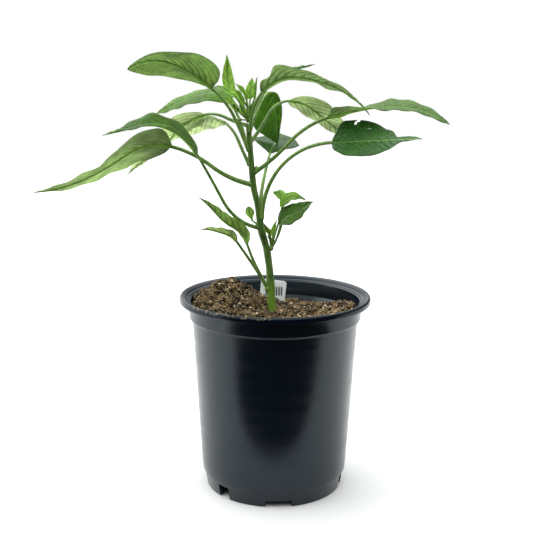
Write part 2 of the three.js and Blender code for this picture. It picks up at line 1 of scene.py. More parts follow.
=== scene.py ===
# %% [markdown]
# # A young bell pepper plant in its nursery pot
#
# The plant is built in five passes: the pot, the soil, the tag, the stem and the leaves.
# Each piece stands where the solid model says, in metres, with +Z up and the pot's foot
# on the floor at height 0.
#
# The first cell loads that solid model. Its box is kept, so that the last cell can
# print it beside the box of the finished plant.

# %% Load the solid model
import math
import random

import bmesh
import bpy
from mathutils import Matrix, Vector, noise


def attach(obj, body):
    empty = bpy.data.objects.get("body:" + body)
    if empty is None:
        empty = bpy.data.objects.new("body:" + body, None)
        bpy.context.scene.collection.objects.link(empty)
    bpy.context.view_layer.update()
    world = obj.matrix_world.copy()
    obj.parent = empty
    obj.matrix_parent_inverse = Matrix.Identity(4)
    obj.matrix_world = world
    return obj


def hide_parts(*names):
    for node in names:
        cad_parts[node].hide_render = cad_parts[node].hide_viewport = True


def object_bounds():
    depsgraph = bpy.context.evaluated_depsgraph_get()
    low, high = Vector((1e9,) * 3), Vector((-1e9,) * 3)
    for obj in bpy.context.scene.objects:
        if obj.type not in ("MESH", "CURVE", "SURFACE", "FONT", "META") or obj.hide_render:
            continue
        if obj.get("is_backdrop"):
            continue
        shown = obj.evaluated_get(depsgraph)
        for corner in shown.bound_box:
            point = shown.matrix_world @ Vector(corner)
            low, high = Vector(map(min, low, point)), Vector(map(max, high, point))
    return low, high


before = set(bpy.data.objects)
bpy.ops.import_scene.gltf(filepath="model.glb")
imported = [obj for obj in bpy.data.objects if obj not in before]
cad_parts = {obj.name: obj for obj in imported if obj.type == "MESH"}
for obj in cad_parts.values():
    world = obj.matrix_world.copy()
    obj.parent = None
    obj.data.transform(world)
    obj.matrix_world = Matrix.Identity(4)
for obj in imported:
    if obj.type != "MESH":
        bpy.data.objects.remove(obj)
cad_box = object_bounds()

MM = 0.001
print("solid model:", [round(c / MM, 1) for corner in cad_box for c in corner], "mm")

# %% [markdown]
# ## Two helpers
#
# Every piece ends in the same way: a bmesh is written to a mesh, the mesh gets smooth
# faces with sharp edges kept, and the new object rides on the model's one body and
# takes the place of a plain solid. One helper does that, so that no piece forgets it.
#
# The other helper builds the node tree of a material or of the world. A node's inputs
# can be numbers, colours or the output of another node, and reading them all from one
# call keeps a tree short. A colour is written as three numbers, and gets its fourth here.


# %% Finish a piece, and build a node tree
def finish_piece(bm, name, materials, node, sharp=40):
    mesh = bpy.data.meshes.new(name)
    bm.to_mesh(mesh)
    bm.free()
    mesh.shade_smooth()
    mesh.set_sharp_from_angle(angle=math.radians(sharp))
    piece = bpy.data.objects.new(name, mesh)
    bpy.context.scene.collection.objects.link(piece)
    for material in materials:
        mesh.materials.append(material)
    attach(piece, "root")
    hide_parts(node)
    return piece


class NodeTree:
    """The nodes of a material or of the world, while they are put together."""

    def __init__(self, tree):
        self.tree = tree
        self.tree.nodes.clear()

    def add(self, kind, inputs=None, **settings):
        made = self.tree.nodes.new("ShaderNode" + kind)
        for key, value in settings.items():
            setattr(made, key, value)
        for key, value in (inputs or {}).items():
            socket = made.inputs[key]
            if isinstance(value, bpy.types.NodeSocket):
                self.tree.links.new(value, socket)
            elif socket.type == "RGBA":
                socket.default_value = (*value[:3], 1.0)
            else:
                socket.default_value = value
        return made

    def math(self, operation, *values):
        return self.add("Math", dict(enumerate(values)), operation=operation).outputs[0]

    def times(self, first, *others):
        for other in others:
            first = self.math("MULTIPLY", first, other)
        return first

    def mix(self, share, first, second, blend="MIX"):
        inputs = {0: share, 6: first, 7: second}
        made = self.add("Mix", inputs, data_type="RGBA", blend_type=blend)
        return made.outputs[2]

    def band(self, value, low, high, at_low=0.0, at_high=1.0):
        inputs = {0: value, 1: low, 2: high, 3: at_low, 4: at_high}
        return self.add("MapRange", inputs, interpolation_type="SMOOTHSTEP").outputs[0]

    def noise(self, where, scale, detail=4.0, roughness=0.5):
        inputs = {"Vector": where, "Scale": scale, "Detail": detail, "Roughness": roughness}
        return self.add("TexNoise", inputs).outputs[0]

    def bump(self, height, distance, strength=1.0):
        inputs = {"Height": height, "Distance": distance, "Strength": strength}
        return self.add("Bump", inputs).outputs[0]


class Finish(NodeTree):
    """A material under construction."""

    def __init__(self, name):
        self.material = bpy.data.materials.new(name)
        self.material.use_nodes = True
        super().__init__(self.material.node_tree)
        self.place = self.add("TexCoord").outputs["Object"]

    def millimetres(self, axis):
        """How far a point lies along X, Y or Z, in millimetres."""
        spot = self.add("SeparateXYZ", {0: self.place})
        return self.math("MULTIPLY", spot.outputs[axis], 1 / MM)

    def done(self, shader):
        self.add("OutputMaterial", {"Surface": shader.outputs[0]})
        return self.material

    def see_through(self, share, shader, glow):
        """The material, with a share of the light coming through from behind."""
        return self.done(self.add(
            "MixShader", {0: share, 1: shader.outputs[0], 2: glow.outputs[0]}))


# %% [markdown]
# ## Camera, light and floor
#
# The camera looks at the pot from slightly above. A separate program fitted its place,
# tilt and lens to the ellipses of the pot's rim, band and foot: the flatter an ellipse
# looks, the lower the camera stands.
#
# The studio is a world that is bright above and at the left, dimmer behind and at the
# right, and dark in front, where the camera stands. A glossy dark pot mirrors it: its
# middle stays black, and pale streaks run down its sides. What the camera sees directly
# is plain white.


# %% Camera
CAMERA_DISTANCE = 782.695 * MM
CAMERA_HEIGHT = 354.81 * MM
CAMERA_PITCH = 0.2021669
CAMERA_YAW = -0.00978029
CAMERA_ROLL = 0.00590894
SENSOR = 36.0
LENS = 62.605

forward = Vector((
    math.sin(CAMERA_YAW) * math.cos(CAMERA_PITCH),
    math.cos(CAMERA_YAW) * math.cos(CAMERA_PITCH),
    -math.sin(CAMERA_PITCH),
))
level = Vector((math.cos(CAMERA_YAW), -math.sin(CAMERA_YAW), 0.0))
over = level.cross(forward)
right = level * math.cos(CAMERA_ROLL) + over * math.sin(CAMERA_ROLL)
above = over * math.cos(CAMERA_ROLL) - level * math.sin(CAMERA_ROLL)

camera = bpy.data.objects.new("camera", bpy.data.cameras.new("camera"))
camera.data.sensor_width = SENSOR
camera.data.lens = LENS
camera.data.clip_start = 0.01
camera.matrix_world = Matrix((right, above, -forward)).transposed().to_4x4()
camera.location = (0.0, -CAMERA_DISTANCE, CAMERA_HEIGHT)
bpy.context.scene.collection.objects.link(camera)
bpy.context.scene.camera = camera
print("camera at", [round(c, 3) for c in camera.location], "m, lens", LENS, "mm")

# %% [markdown]
# The world's brightness is worked out from the direction of a ray. MapRange nodes turn
# its sideways, backward and upward parts into brightnesses. The floor is a plain pale
# sheet that ends a little in front of the pot, so that the pot doesn't mirror all of it.

# %% World and floor
LIGHT_LEFT = 2.4
LIGHT_RIGHT = 0.25
SIDE_EDGES = (-0.85, 0.5)
LIGHT_FRONT = 0.05
LIGHT_OVERHEAD = 3.0
LIGHT_COLOUR = (0.98, 1.0, 0.99)
WHITE = (1.0, 1.0, 1.0)
FRONT_EDGE = (-0.40, -0.02)
FRONT_TURN = -0.2
OVERHEAD_EDGE = (0.35, 0.8)

scene = bpy.context.scene
scene.view_settings.view_transform = "Standard"
scene.world = bpy.data.worlds.new("studio")
scene.world.use_nodes = True
studio = NodeTree(scene.world.node_tree)
towards = studio.add("SeparateXYZ", {0: studio.add("TexCoord").outputs["Generated"]})
sides = studio.band(towards.outputs["X"], *SIDE_EDGES, LIGHT_LEFT, LIGHT_RIGHT)
turned = studio.math(
    "MULTIPLY_ADD", towards.outputs["X"], FRONT_TURN, towards.outputs["Y"])
level_light = studio.add(
    "Mix", {0: studio.band(turned, *FRONT_EDGE), 2: LIGHT_FRONT, 3: sides}).outputs[0]
overhead = studio.band(towards.outputs["Z"], *OVERHEAD_EDGE, 0.0, LIGHT_OVERHEAD)
light = studio.math("ADD", level_light, overhead)
seen = studio.add("LightPath").outputs["Is Camera Ray"]
background = studio.add("Background", {
    "Strength": studio.add("Mix", {0: seen, 2: light, 3: 1.0}).outputs[0],
    "Color": studio.mix(seen, LIGHT_COLOUR, WHITE),
})
studio.add("OutputWorld", {"Surface": background.outputs[0]})
print("light from the left", LIGHT_LEFT, "right", LIGHT_RIGHT, "above", LIGHT_OVERHEAD)

FLOOR_FRONT = -0.135
FLOOR_REACH = 2.0
FLOOR_PALE = (0.55, 0.55, 0.55)
floor_finish = Finish("floor")
floor_shader = floor_finish.add(
    "BsdfPrincipled", {"Base Color": FLOOR_PALE, "Roughness": 0.8})
floor_bm = bmesh.new()
bmesh.ops.create_grid(floor_bm, x_segments=1, y_segments=1, size=FLOOR_REACH)
bmesh.ops.translate(
    floor_bm, verts=floor_bm.verts, vec=(0.0, FLOOR_REACH + FLOOR_FRONT, 0.0))
floor_mesh = bpy.data.meshes.new("floor")
floor_bm.to_mesh(floor_mesh)
floor_bm.free()
floor_mesh.materials.append(floor_finish.done(floor_shader))
floor = bpy.data.objects.new("floor", floor_mesh)
bpy.context.scene.collection.objects.link(floor)
floor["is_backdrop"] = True

# %% [markdown]
# ## The pot's plastic
#
# Nursery pots are moulded from recycled black plastic. It isn't a perfect black: it has
# a faint blue cast, its gloss changes from place to place with handling, and dust and
# grains of soil cling to it. The gloss and the dust both come from noise, so no two
# spots repeat. A light bump at two scales breaks up the reflections.


# %% Pot plastic
POT_HEIGHT = 170.0
PLASTIC_DARK = (0.0006, 0.0028, 0.0072)
PLASTIC_PALE = (0.0020, 0.0052, 0.0108)
PLASTIC_TINT = (0.80, 0.92, 1.0)
SPECK = (0.35, 0.33, 0.3)
DUST = (0.24, 0.19, 0.12)
# The dust lies on the rim's top, towards the front and the left.
DUST_HEIGHT = (POT_HEIGHT - 2.6, POT_HEIGHT - 1.2)
DUST_FRONT = (-30.0, -60.0)
DUST_LEFT = (4.0, -12.0)
# A painted highlight: a thin pale line runs round inside the mouth, where its corner below the rim
# catches light.
MOUTH_HIGHLIGHT = (0.05, 0.057, 0.066)
MOUTH_LINE_REACH = 78.5
MOUTH_HIGHLIGHT_LOW = (166.6, 167.0)
MOUTH_HIGHLIGHT_HIGH = (167.7, 167.3)
# The rim is duller than the wall, and a little glossier where hands wear it.
GLOSS_WALL, GLOSS_RIM, GLOSS_WORN = 0.5, 0.10, 0.12
GLOSS_EDGE = (POT_HEIGHT - 4.4, POT_HEIGHT - 3.6)
WORN_EDGE = (POT_HEIGHT - 4.0, POT_HEIGHT - 2.5)


def pot_plastic():
    finish = Finish("pot_plastic")
    place = finish.place
    side, depth, height = [finish.millimetres(axis) for axis in "XYZ"]
    cloudy = finish.noise(place, 18.0, 5.0, 0.6)
    fine = finish.noise(place, 420.0, 3.0, 0.6)
    colour = finish.mix(cloudy, PLASTIC_DARK, PLASTIC_PALE)

    specks = finish.add("TexVoronoi", {"Vector": place, "Scale": 150.0})
    size = finish.math("SUBTRACT", finish.times(specks.outputs["Color"], 0.13), 0.06)
    speck = finish.math("LESS_THAN", specks.outputs["Distance"], size)
    dusty = finish.band(finish.noise(place, 9.0, 3.0), 0.45, 0.62)
    colour = finish.mix(finish.times(speck, dusty, 0.35), colour, SPECK)

    dust = finish.band(finish.noise(place, 260.0, 6.0, 0.75), 0.52, 0.6)
    dust = finish.times(
        dust, finish.band(height, *DUST_HEIGHT), finish.band(depth, *DUST_FRONT),
        finish.band(side, *DUST_LEFT), 0.8)
    colour = finish.mix(dust, colour, DUST)

    flat = finish.add("CombineXYZ", {0: side, 1: depth}).outputs[0]
    radius = finish.add("VectorMath", {0: flat}, operation="LENGTH").outputs["Value"]
    # Painted highlight: a pale ring just inside the mouth, below the rim.
    inner = finish.math("LESS_THAN", radius, MOUTH_LINE_REACH)
    line = finish.times(
        finish.band(height, *MOUTH_HIGHLIGHT_LOW), finish.band(height, *MOUTH_HIGHLIGHT_HIGH), inner)
    colour = finish.mix(line, colour, MOUTH_HIGHLIGHT)

    gloss = finish.band(height, *GLOSS_EDGE, GLOSS_WALL, GLOSS_RIM)
    outside = finish.math("SUBTRACT", 1.0, inner)
    worn = finish.times(outside, GLOSS_WORN, finish.band(height, *WORN_EDGE))
    stretched = finish.add("Mapping", {"Vector": place, "Scale": (1.0, 1.0, 9.0)}).outputs[0]
    rough = finish.band(finish.noise(stretched, 14.0, 4.0, 0.55), 0.3, 0.7, 0.15, 0.23)
    relief = finish.math("ADD", finish.times(cloudy, 0.5), fine)
    shader = finish.add("BsdfPrincipled", {
        "Base Color": colour,
        "Roughness": finish.math("ADD", rough, finish.times(fine, 0.06)),
        "Specular IOR Level": finish.math("ADD", gloss, worn),
        "Specular Tint": PLASTIC_TINT,
        "Normal": finish.bump(relief, 0.0001, 0.4),
    })
    return finish.done(shader)


POT_PLASTIC = pot_plastic()

# %% [markdown]
# ## The pot
#
# The pot is a turned form: one outline, spun round the Z axis. The outline runs from
# the pad under the floor, round the foot ring, up the tapered outside, over the rolled
# rim and down the inside to the floor again. A spin keeps every ring exactly round, and
# 160 steps leave no corners in its shadow line.
#
# The outline's corners are bevelled after the spin, because moulded plastic has no
# sharp edge, and those small rounds catch the thin lines of light at the rim. Drain
# slots and foot notches are cut last, with boxes.
#
# The rim's radius was chosen. The program that fitted the camera also worked out the
# pot's height and its main radii from it, and they were then rounded and adjusted.

# %% Pot outline, spun
RIM_RADIUS = 82.5
MOUTH_RADIUS = 76.0
BAND_RADIUS = 74.4
BODY_TOP_RADIUS = 71.6
BODY_FOOT_RADIUS = 64.2
FOOT_RADIUS = 59.7
PAD_RADIUS = 17.0
WALL = 1.5
BAND_Z = 151.0
FOOT_Z = 13.5
BODY_FOOT_Z = 25.0
FLOOR_Z = 5.0
POT_STEPS = 160
CORNER_ANGLE = 18
CORNER_ROUND = 0.35
OUTLINE = [
    (0, 0), (PAD_RADIUS - 1, 0), (PAD_RADIUS, FLOOR_Z),
    (FOOT_RADIUS - 3.4, FLOOR_Z), (FOOT_RADIUS - 2.8, 0), (FOOT_RADIUS, 0),
    (FOOT_RADIUS + 2, FOOT_Z - 0.5), (BODY_FOOT_RADIUS - 0.9, FOOT_Z + 0.7),
    (BODY_FOOT_RADIUS, BODY_FOOT_Z), (BODY_TOP_RADIUS, BAND_Z - 1.6),
    (BAND_RADIUS - 0.4, BAND_Z), (BAND_RADIUS, BAND_Z + 1),
    (BAND_RADIUS, POT_HEIGHT - 5.5), (RIM_RADIUS - 1.6, POT_HEIGHT - 3.4),
    (RIM_RADIUS - 1.4, POT_HEIGHT - 5.4), (RIM_RADIUS - 0.2, POT_HEIGHT - 5.4),
    (RIM_RADIUS, POT_HEIGHT - 1.6), (RIM_RADIUS - 0.8, POT_HEIGHT - 0.2),
    (RIM_RADIUS - 1.8, POT_HEIGHT), (MOUTH_RADIUS + 0.8, POT_HEIGHT - 1.9),
    (MOUTH_RADIUS, POT_HEIGHT - 2.8), (BAND_RADIUS - WALL, POT_HEIGHT - 4.2),
    (BAND_RADIUS - WALL, BAND_Z + 2),
    (BODY_TOP_RADIUS - WALL, BAND_Z - 2), (BODY_FOOT_RADIUS - WALL, BODY_FOOT_Z),
    (FOOT_RADIUS - 1, FOOT_Z), (FOOT_RADIUS - 3, FLOOR_Z + WALL), (0, FLOOR_Z + WALL),
]
FULL_TURN = 2 * math.pi


def spun(outline, steps):
    """A closed turned form. The outline starts and ends on the axis."""
    bm = bmesh.new()
    corners = [bm.verts.new((r * MM, 0.0, z * MM)) for r, z in outline]
    edges = [bm.edges.new(pair) for pair in zip(corners, corners[1:])]
    bmesh.ops.spin(
        bm, geom=corners + edges, cent=(0, 0, 0), axis=(0, 0, 1), angle=FULL_TURN,
        steps=steps, use_merge=True, use_duplicate=False)
    bmesh.ops.remove_doubles(bm, verts=bm.verts, dist=1e-6)
    bmesh.ops.recalc_face_normals(bm, faces=bm.faces)
    return bm


pot_bm = spun(OUTLINE, POT_STEPS)
corner_edges = [
    edge for edge in pot_bm.edges
    if len(edge.link_faces) == 2 and edge.calc_face_angle() > math.radians(CORNER_ANGLE)
    and abs(edge.verts[0].co.z - edge.verts[1].co.z) < 1e-6
]
bmesh.ops.bevel(
    pot_bm, geom=corner_edges, offset=CORNER_ROUND * MM, affect="EDGES", segments=2,
    profile=0.5, material=-1, clamp_overlap=True)
print("pot:", len(pot_bm.faces), "faces,", len(corner_edges), "edges rounded")

# %% [markdown]
# The slots are cut with a Boolean modifier and small boxes that stick out on both sides
# of the wall. The result is read back from the evaluated object, so that the finished
# pot needs no helper objects.

# %% Drain slots and foot notches
DRAIN = dict(width=12.0, bottom=-5.0, top=11.0, turn=-134.5, inner=53.0, outer=70.0)
FOOT_NOTCH = dict(width=22.0, bottom=-5.0, top=5.5, turn=-86, inner=50.0, outer=70.0)
DRAIN_COUNT = 3


def cutter_box(bm, width, bottom, top, turn, inner, outer, step):
    size = Matrix.Diagonal(((outer - inner) * MM, width * MM, (top - bottom) * MM, 1.0))
    place = Matrix.Translation(((inner + outer) / 2 * MM, 0.0, (bottom + top) / 2 * MM))
    turned = Matrix.Rotation(math.radians(turn + step), 4, "Z")
    bmesh.ops.create_cube(bm, size=1.0, matrix=turned @ place @ size)


def cut_away(bm, cutter_bm, name):
    """What is left of one bmesh when another is cut from it."""
    whole, cutter = [bpy.data.meshes.new(name + part) for part in ("_whole", "_cutter")]
    bm.to_mesh(whole)
    cutter_bm.to_mesh(cutter)
    objects = [bpy.data.objects.new(mesh.name, mesh) for mesh in (whole, cutter)]
    for each in objects:
        bpy.context.scene.collection.objects.link(each)
    boolean = objects[0].modifiers.new("cut", "BOOLEAN")
    boolean.operation = "DIFFERENCE"
    boolean.solver = "EXACT"
    boolean.object = objects[1]
    evaluated = objects[0].evaluated_get(bpy.context.evaluated_depsgraph_get())
    bm.clear()
    bm.from_mesh(evaluated.to_mesh())
    for each in objects:
        bpy.data.objects.remove(each)
    for mesh in (whole, cutter):
        bpy.data.meshes.remove(mesh)
    cutter_bm.free()
    return bm


cutters = bmesh.new()
for number in range(DRAIN_COUNT):
    step = 360 / DRAIN_COUNT * number
    cutter_box(cutters, step=step, **DRAIN)
    cutter_box(cutters, step=step, **FOOT_NOTCH)
pot_bm = cut_away(pot_bm, cutters, "pot")
pot = finish_piece(pot_bm, "pot_shell", [POT_PLASTIC], "pot", sharp=32)
print("pot shell:", len(pot.data.polygons), "faces after the cuts")

# %% [markdown]
# ## Soil
#
# Potting soil is peat with bark, fibres and white perlite. From a step away it reads as
# a brown, crumbly surface with dark clefts and pale grains. The large form is a few low
# hills, those of the solid model with the largest a little flatter, because the crumbs
# on it add their own height. Noise at three sizes adds clods, crumbs and grit, and real
# loose crumbs, grains and fibres are strewn on top, so that the edge of the surface is
# ragged too and not only its shading.


# %% Soil, perlite and fibre finishes
# The first colour is painted shade for the clefts between clods; the others are the soil's own
# browns and grains.
CLEFT_SHADE = (0.004, 0.003, 0.0015)
PEAT_BROWN = (0.13, 0.085, 0.042)
GRIT = (0.30, 0.22, 0.12)
PALE_BITS = (0.62, 0.48, 0.30)


def soil_finish():
    finish = Finish("peat")
    clods = finish.noise(finish.place, 130.0, 6.0, 0.7)
    grit = finish.noise(finish.place, 520.0, 5.0, 0.7)
    bits = finish.noise(finish.place, 300.0, 2.0, 0.5)
    # Painted shade: the low parts of the clod noise, which the bump also sinks, turn near-black.
    colour = finish.mix(finish.band(clods, 0.44, 0.57), CLEFT_SHADE, PEAT_BROWN)
    colour = finish.mix(finish.band(grit, 0.5, 0.64), colour, GRIT)
    colour = finish.mix(finish.band(bits, 0.64, 0.69), colour, PALE_BITS)
    relief = finish.math("ADD", clods, finish.times(grit, 0.7))
    shader = finish.add("BsdfPrincipled", {
        "Base Color": colour,
        "Roughness": 0.95,
        "Specular IOR Level": 0.2,
        "Normal": finish.bump(relief, 0.0012, 0.8),
    })
    return finish.done(shader)


def grain_finish(name, low, high, rough):
    finish = Finish(name)
    spread = finish.noise(finish.place, 160.0, 3.0, 0.6)
    colour = finish.mix(finish.band(spread, 0.35, 0.65), low, high)
    pits = finish.noise(finish.place, 1400.0, 2.0, 0.6)
    shader = finish.add("BsdfPrincipled", {
        "Base Color": colour,
        "Roughness": rough,
        "Normal": finish.bump(pits, 0.0003, 0.6),
    })
    return finish.done(shader)


PEAT = soil_finish()
PERLITE = grain_finish("perlite", (0.34, 0.28, 0.18), (0.82, 0.76, 0.60), 0.9)
FIBRE = grain_finish("bark_fibre", (0.14, 0.085, 0.035), (0.52, 0.36, 0.19), 0.85)

# %% [markdown]
# The soil's skin is spun as well, from the middle out to the wall, down the wall and
# back in over the pot's floor, so that it is a closed lump and the drain slots show
# soil behind them. The vertices of the top are then lifted one by one.

# %% Soil body
SOIL_LEVEL = 154.0
SOIL_ROOM = 0.6
SOIL_FOOT_Z = FLOOR_Z + WALL + 0.3
# Heights and radii of the soil's side, a little inside the pot's wall.
SOIL_WALL = [
    (SOIL_FOOT_Z, FOOT_RADIUS - 3 - SOIL_ROOM), (FOOT_Z, FOOT_RADIUS - 1 - SOIL_ROOM),
    (BODY_FOOT_Z, BODY_FOOT_RADIUS - WALL - SOIL_ROOM),
    (BAND_Z - 2, BODY_TOP_RADIUS - WALL - SOIL_ROOM),
    (BAND_Z + 2, BAND_RADIUS - WALL - SOIL_ROOM)]
# Height, middle and spread of each hill; a hill with a negative height is a hollow.
SOIL_HILLS = [
    (22.5, -37.5, 16.0, 20.0), (6.0, -62.0, 8.0, 14.0), (5.0, 22.0, 5.0, 20.0),
    (9.0, 61.0, 3.0, 12.0), (-5.0, -2.0, -6.0, 9.0), (-6.0, 36.0, 56.0, 32.0)]
SOIL_SIDE_Z = 148.4
SOIL_RADIUS = 71.0
SOIL_RINGS = 88
SOIL_STEPS = 260
# Height of the long waves of the surface, and how fast they run along X and Y.
CROSSED_WAVE = (1.4, 0.31, 0.27)
CROSSED_SHIFT = 1.7
SLANTED_WAVE = (1.12, 0.17, 0.23)
CLOD_SIZE, CLOD_HEIGHT = 7.0, 1.9
CRUMB_SIZE, CRUMB_HEIGHT = 1.9, 1.1


def between(knots, values, at):
    """Straight lines through the values at the knots."""
    number = 1
    while number < len(knots) - 1 and at > knots[number]:
        number += 1
    low, high = knots[number - 1], knots[number]
    share = min(max((at - low) / (high - low), 0.0), 1.0)
    return values[number - 1] + (values[number] - values[number - 1]) * share


def soil_height(x, y):
    height = SOIL_LEVEL
    for rise, hill_x, hill_y, spread in SOIL_HILLS:
        distance = math.hypot(x - hill_x, y - hill_y)
        height += rise * math.exp(-0.5 * (distance / spread) ** 2)
    rise, along_x, along_y = CROSSED_WAVE
    height += rise * math.sin(along_x * x + CROSSED_SHIFT) * math.cos(along_y * y)
    rise, along_x, along_y = SLANTED_WAVE
    return height + rise * math.sin(along_x * x - along_y * y)


def crumbly(x, y):
    clods = noise.fractal(Vector((x, y, 0.0)) / CLOD_SIZE, 0.9, 2.1, 4)
    crumbs = noise.noise(Vector((x, y, 4.0)) / CRUMB_SIZE)
    return CLOD_HEIGHT * clods + CRUMB_HEIGHT * crumbs


def soil_top(x, y):
    return soil_height(x, y) + crumbly(x, y)


def wall_radius(z):
    heights, radii = zip(*SOIL_WALL)
    return between(heights, radii, z)


top_line = [(SOIL_RADIUS * ring / SOIL_RINGS, SOIL_LEVEL) for ring in range(SOIL_RINGS + 1)]
side_line = [(radius, z) for z, radius in reversed(SOIL_WALL[:3])]
side_line = [(SOIL_RADIUS, SOIL_SIDE_Z)] + side_line + [(0, SOIL_WALL[0][0])]
soil_bm = spun(top_line + side_line, SOIL_STEPS)
for vert in soil_bm.verts:
    distance = math.hypot(vert.co.x, vert.co.y) / MM
    if vert.co.z < (SOIL_SIDE_Z - 1) * MM or distance < 0.01:
        continue
    x, y = [c / MM * SOIL_RADIUS / distance for c in vert.co.xy]
    edge_z = soil_top(x, y)
    if vert.co.z < (SOIL_LEVEL - 1) * MM:
        vert.co.z = min(SOIL_SIDE_Z, edge_z - 1) * MM
        stretch = wall_radius(vert.co.z / MM) / SOIL_RADIUS
    else:
        stretch = wall_radius(edge_z) / SOIL_RADIUS
    vert.co.x *= stretch
    vert.co.y *= stretch
    if vert.co.z > (SOIL_LEVEL - 1) * MM:
        vert.co.z = soil_top(vert.co.x / MM, vert.co.y / MM) * MM
soil = finish_piece(soil_bm, "soil_body", [PEAT], "soil", sharp=180)
print("soil:", len(soil.data.polygons), "faces")

# %% [markdown]
# A loose grain is an icosphere of one subdivision, which is 20 faces, squashed and
# turned at random and set into the surface. Grains that are strewn together are one
# mesh.

# %% Crumbs, perlite and fibres
STREW_REACH = 70.5
chance = random.Random(7)


def random_place():
    angle = chance.uniform(0, FULL_TURN)
    distance = STREW_REACH * math.sqrt(chance.random())
    return distance * math.cos(angle), distance * math.sin(angle)


def random_turn():
    angles = [chance.uniform(0, FULL_TURN) for _ in range(3)]
    turned = Matrix.Rotation(angles[0], 4, "X") @ Matrix.Rotation(angles[1], 4, "Y")
    return turned @ Matrix.Rotation(angles[2], 4, "Z")


def strew(name, count, sizes, material, sink, stretch=(0.6, 1.3), near=None):
    """Grains of random size. near = (x, y, spread) gathers them round a place."""
    bm = bmesh.new()
    for _ in range(count):
        x, y = random_place()
        if near:
            x, y = chance.gauss(near[0], near[2]), chance.gauss(near[1], near[2])
            if math.hypot(x, y) > STREW_REACH:
                continue
        size = sizes[0] + (sizes[1] - sizes[0]) * chance.random() ** 2.5
        widths = [size * chance.uniform(*stretch) * MM for _ in range(3)]
        shape = Matrix.Diagonal((*widths, 1.0))
        place = Matrix.Translation(Vector((x, y, soil_top(x, y) - sink * size)) * MM)
        bmesh.ops.create_icosphere(
            bm, subdivisions=1, radius=1.0, matrix=place @ random_turn() @ shape)
    return finish_piece(bm, name, [material], "soil", sharp=20)


crumbs = strew("soil_crumbs", 2200, (0.5, 2.8), PEAT, 0.0)
perlite = strew("soil_perlite", 34, (0.4, 1.3), PERLITE, 0.1)
perlite_heap = strew("soil_perlite_right", 60, (0.4, 1.5), PERLITE, 0.1, near=(50, -14, 12))


def strew_fibres(name, count):
    bm = bmesh.new()
    for _ in range(count):
        x, y = random_place()
        length = chance.uniform(2.0, 8.0)
        thick = chance.uniform(0.25, 0.7)
        shape = Matrix.Diagonal((length * MM, thick * MM, thick * 0.6 * MM, 1.0))
        lean = Matrix.Rotation(chance.uniform(-0.4, 0.4), 4, "Y")
        turn = Matrix.Rotation(chance.uniform(0, FULL_TURN), 4, "Z")
        place = Matrix.Translation(Vector((x, y, soil_top(x, y) + 0.3)) * MM)
        bmesh.ops.create_icosphere(
            bm, subdivisions=1, radius=0.5, matrix=place @ turn @ lean @ shape)
    return finish_piece(bm, name, [FIBRE], "soil", sharp=20)


fibres = strew_fibres("soil_fibres", 520)
loose = (crumbs, perlite, perlite_heap, fibres)
print("loose bits:", sum(len(bits.data.polygons) for bits in loose), "faces")

# %% [markdown]
# ## Plant tag
#
# A thin white plastic label, pushed into the soil behind the stem. It is a flat plate
# whose two upper corners are rounded with a vertex bevel and whose foot comes to a
# point. A Bevel modifier then gives all its edges a hair-thin round, so that they catch
# light. Its print is a few plain dark bars.


# %% Tag
PRINT_LEFT, PRINT_RIGHT = -9.1, 7.1
PRINT_LOW, PRINT_HIGH = 160.5, 168.5
PRINT_EDGE = 0.1
BAR_PITCH = 1.15
INK = (0.10, 0.11, 0.13)
TAG_THROUGH = 0.45


def tag_finish():
    finish = Finish("tag_plastic")
    across, height = finish.millimetres("X"), finish.millimetres("Z")
    printed = finish.times(
        finish.band(across, PRINT_LEFT - PRINT_EDGE, PRINT_LEFT + PRINT_EDGE),
        finish.band(across, PRINT_RIGHT + PRINT_EDGE, PRINT_RIGHT - PRINT_EDGE),
        finish.band(height, PRINT_LOW - PRINT_EDGE, PRINT_LOW + PRINT_EDGE),
        finish.band(height, PRINT_HIGH + PRINT_EDGE, PRINT_HIGH - PRINT_EDGE))
    bars = finish.band(finish.math("PINGPONG", across, BAR_PITCH), 0.5, 0.6)
    smudge = finish.noise(finish.place, 70.0, 4.0)
    colour = finish.mix(smudge, (0.90, 0.94, 0.96), (0.97, 0.98, 0.99))
    colour = finish.mix(finish.times(printed, bars), colour, INK)
    shader = finish.add("BsdfPrincipled", {
        "Base Color": colour,
        "Roughness": 0.45,
        "Normal": finish.bump(smudge, 0.0003, 0.3),
    })
    return finish.see_through(
        TAG_THROUGH, shader, finish.add("BsdfTranslucent", {"Color": colour}))


TAG_WIDTH, TAG_TOP, TAG_BOTTOM, TAG_THICKNESS = 23.0, 176.0, 126.0, 0.8
TAG_LENGTH = TAG_TOP - TAG_BOTTOM
TAG_CORNER = 3.0
TAG_EDGE = 0.12
TAG_PLACE = (-1.0, 35.0, TAG_TOP - 1.2)
TAG_LEAN = 6
tag_bm = bmesh.new()
bmesh.ops.create_grid(tag_bm, x_segments=1, y_segments=1, size=0.5)
bmesh.ops.scale(
    tag_bm, verts=tag_bm.verts, vec=(TAG_WIDTH * MM, TAG_LENGTH * MM, 1.0))
tag_middle = -TAG_LENGTH / 2 * MM
bmesh.ops.translate(tag_bm, verts=tag_bm.verts, vec=(0.0, tag_middle, 0.0))
low_edge = [e for e in tag_bm.edges if all(v.co.y < tag_middle for v in e.verts)]
bmesh.ops.subdivide_edges(tag_bm, edges=low_edge, cuts=1)
for vert in tag_bm.verts:
    if vert.co.y < tag_middle and abs(vert.co.x) > TAG_WIDTH / 4 * MM:
        vert.co.y += TAG_WIDTH / 2 * MM
top_corners = [v for v in tag_bm.verts if v.co.y > tag_middle]
bmesh.ops.bevel(
    tag_bm, geom=top_corners, offset=TAG_CORNER * MM, affect="VERTICES", segments=5,
    profile=0.5, material=-1)
sheet = tag_bm.faces[:]
bulk = bmesh.ops.extrude_face_region(tag_bm, geom=sheet)["geom"]
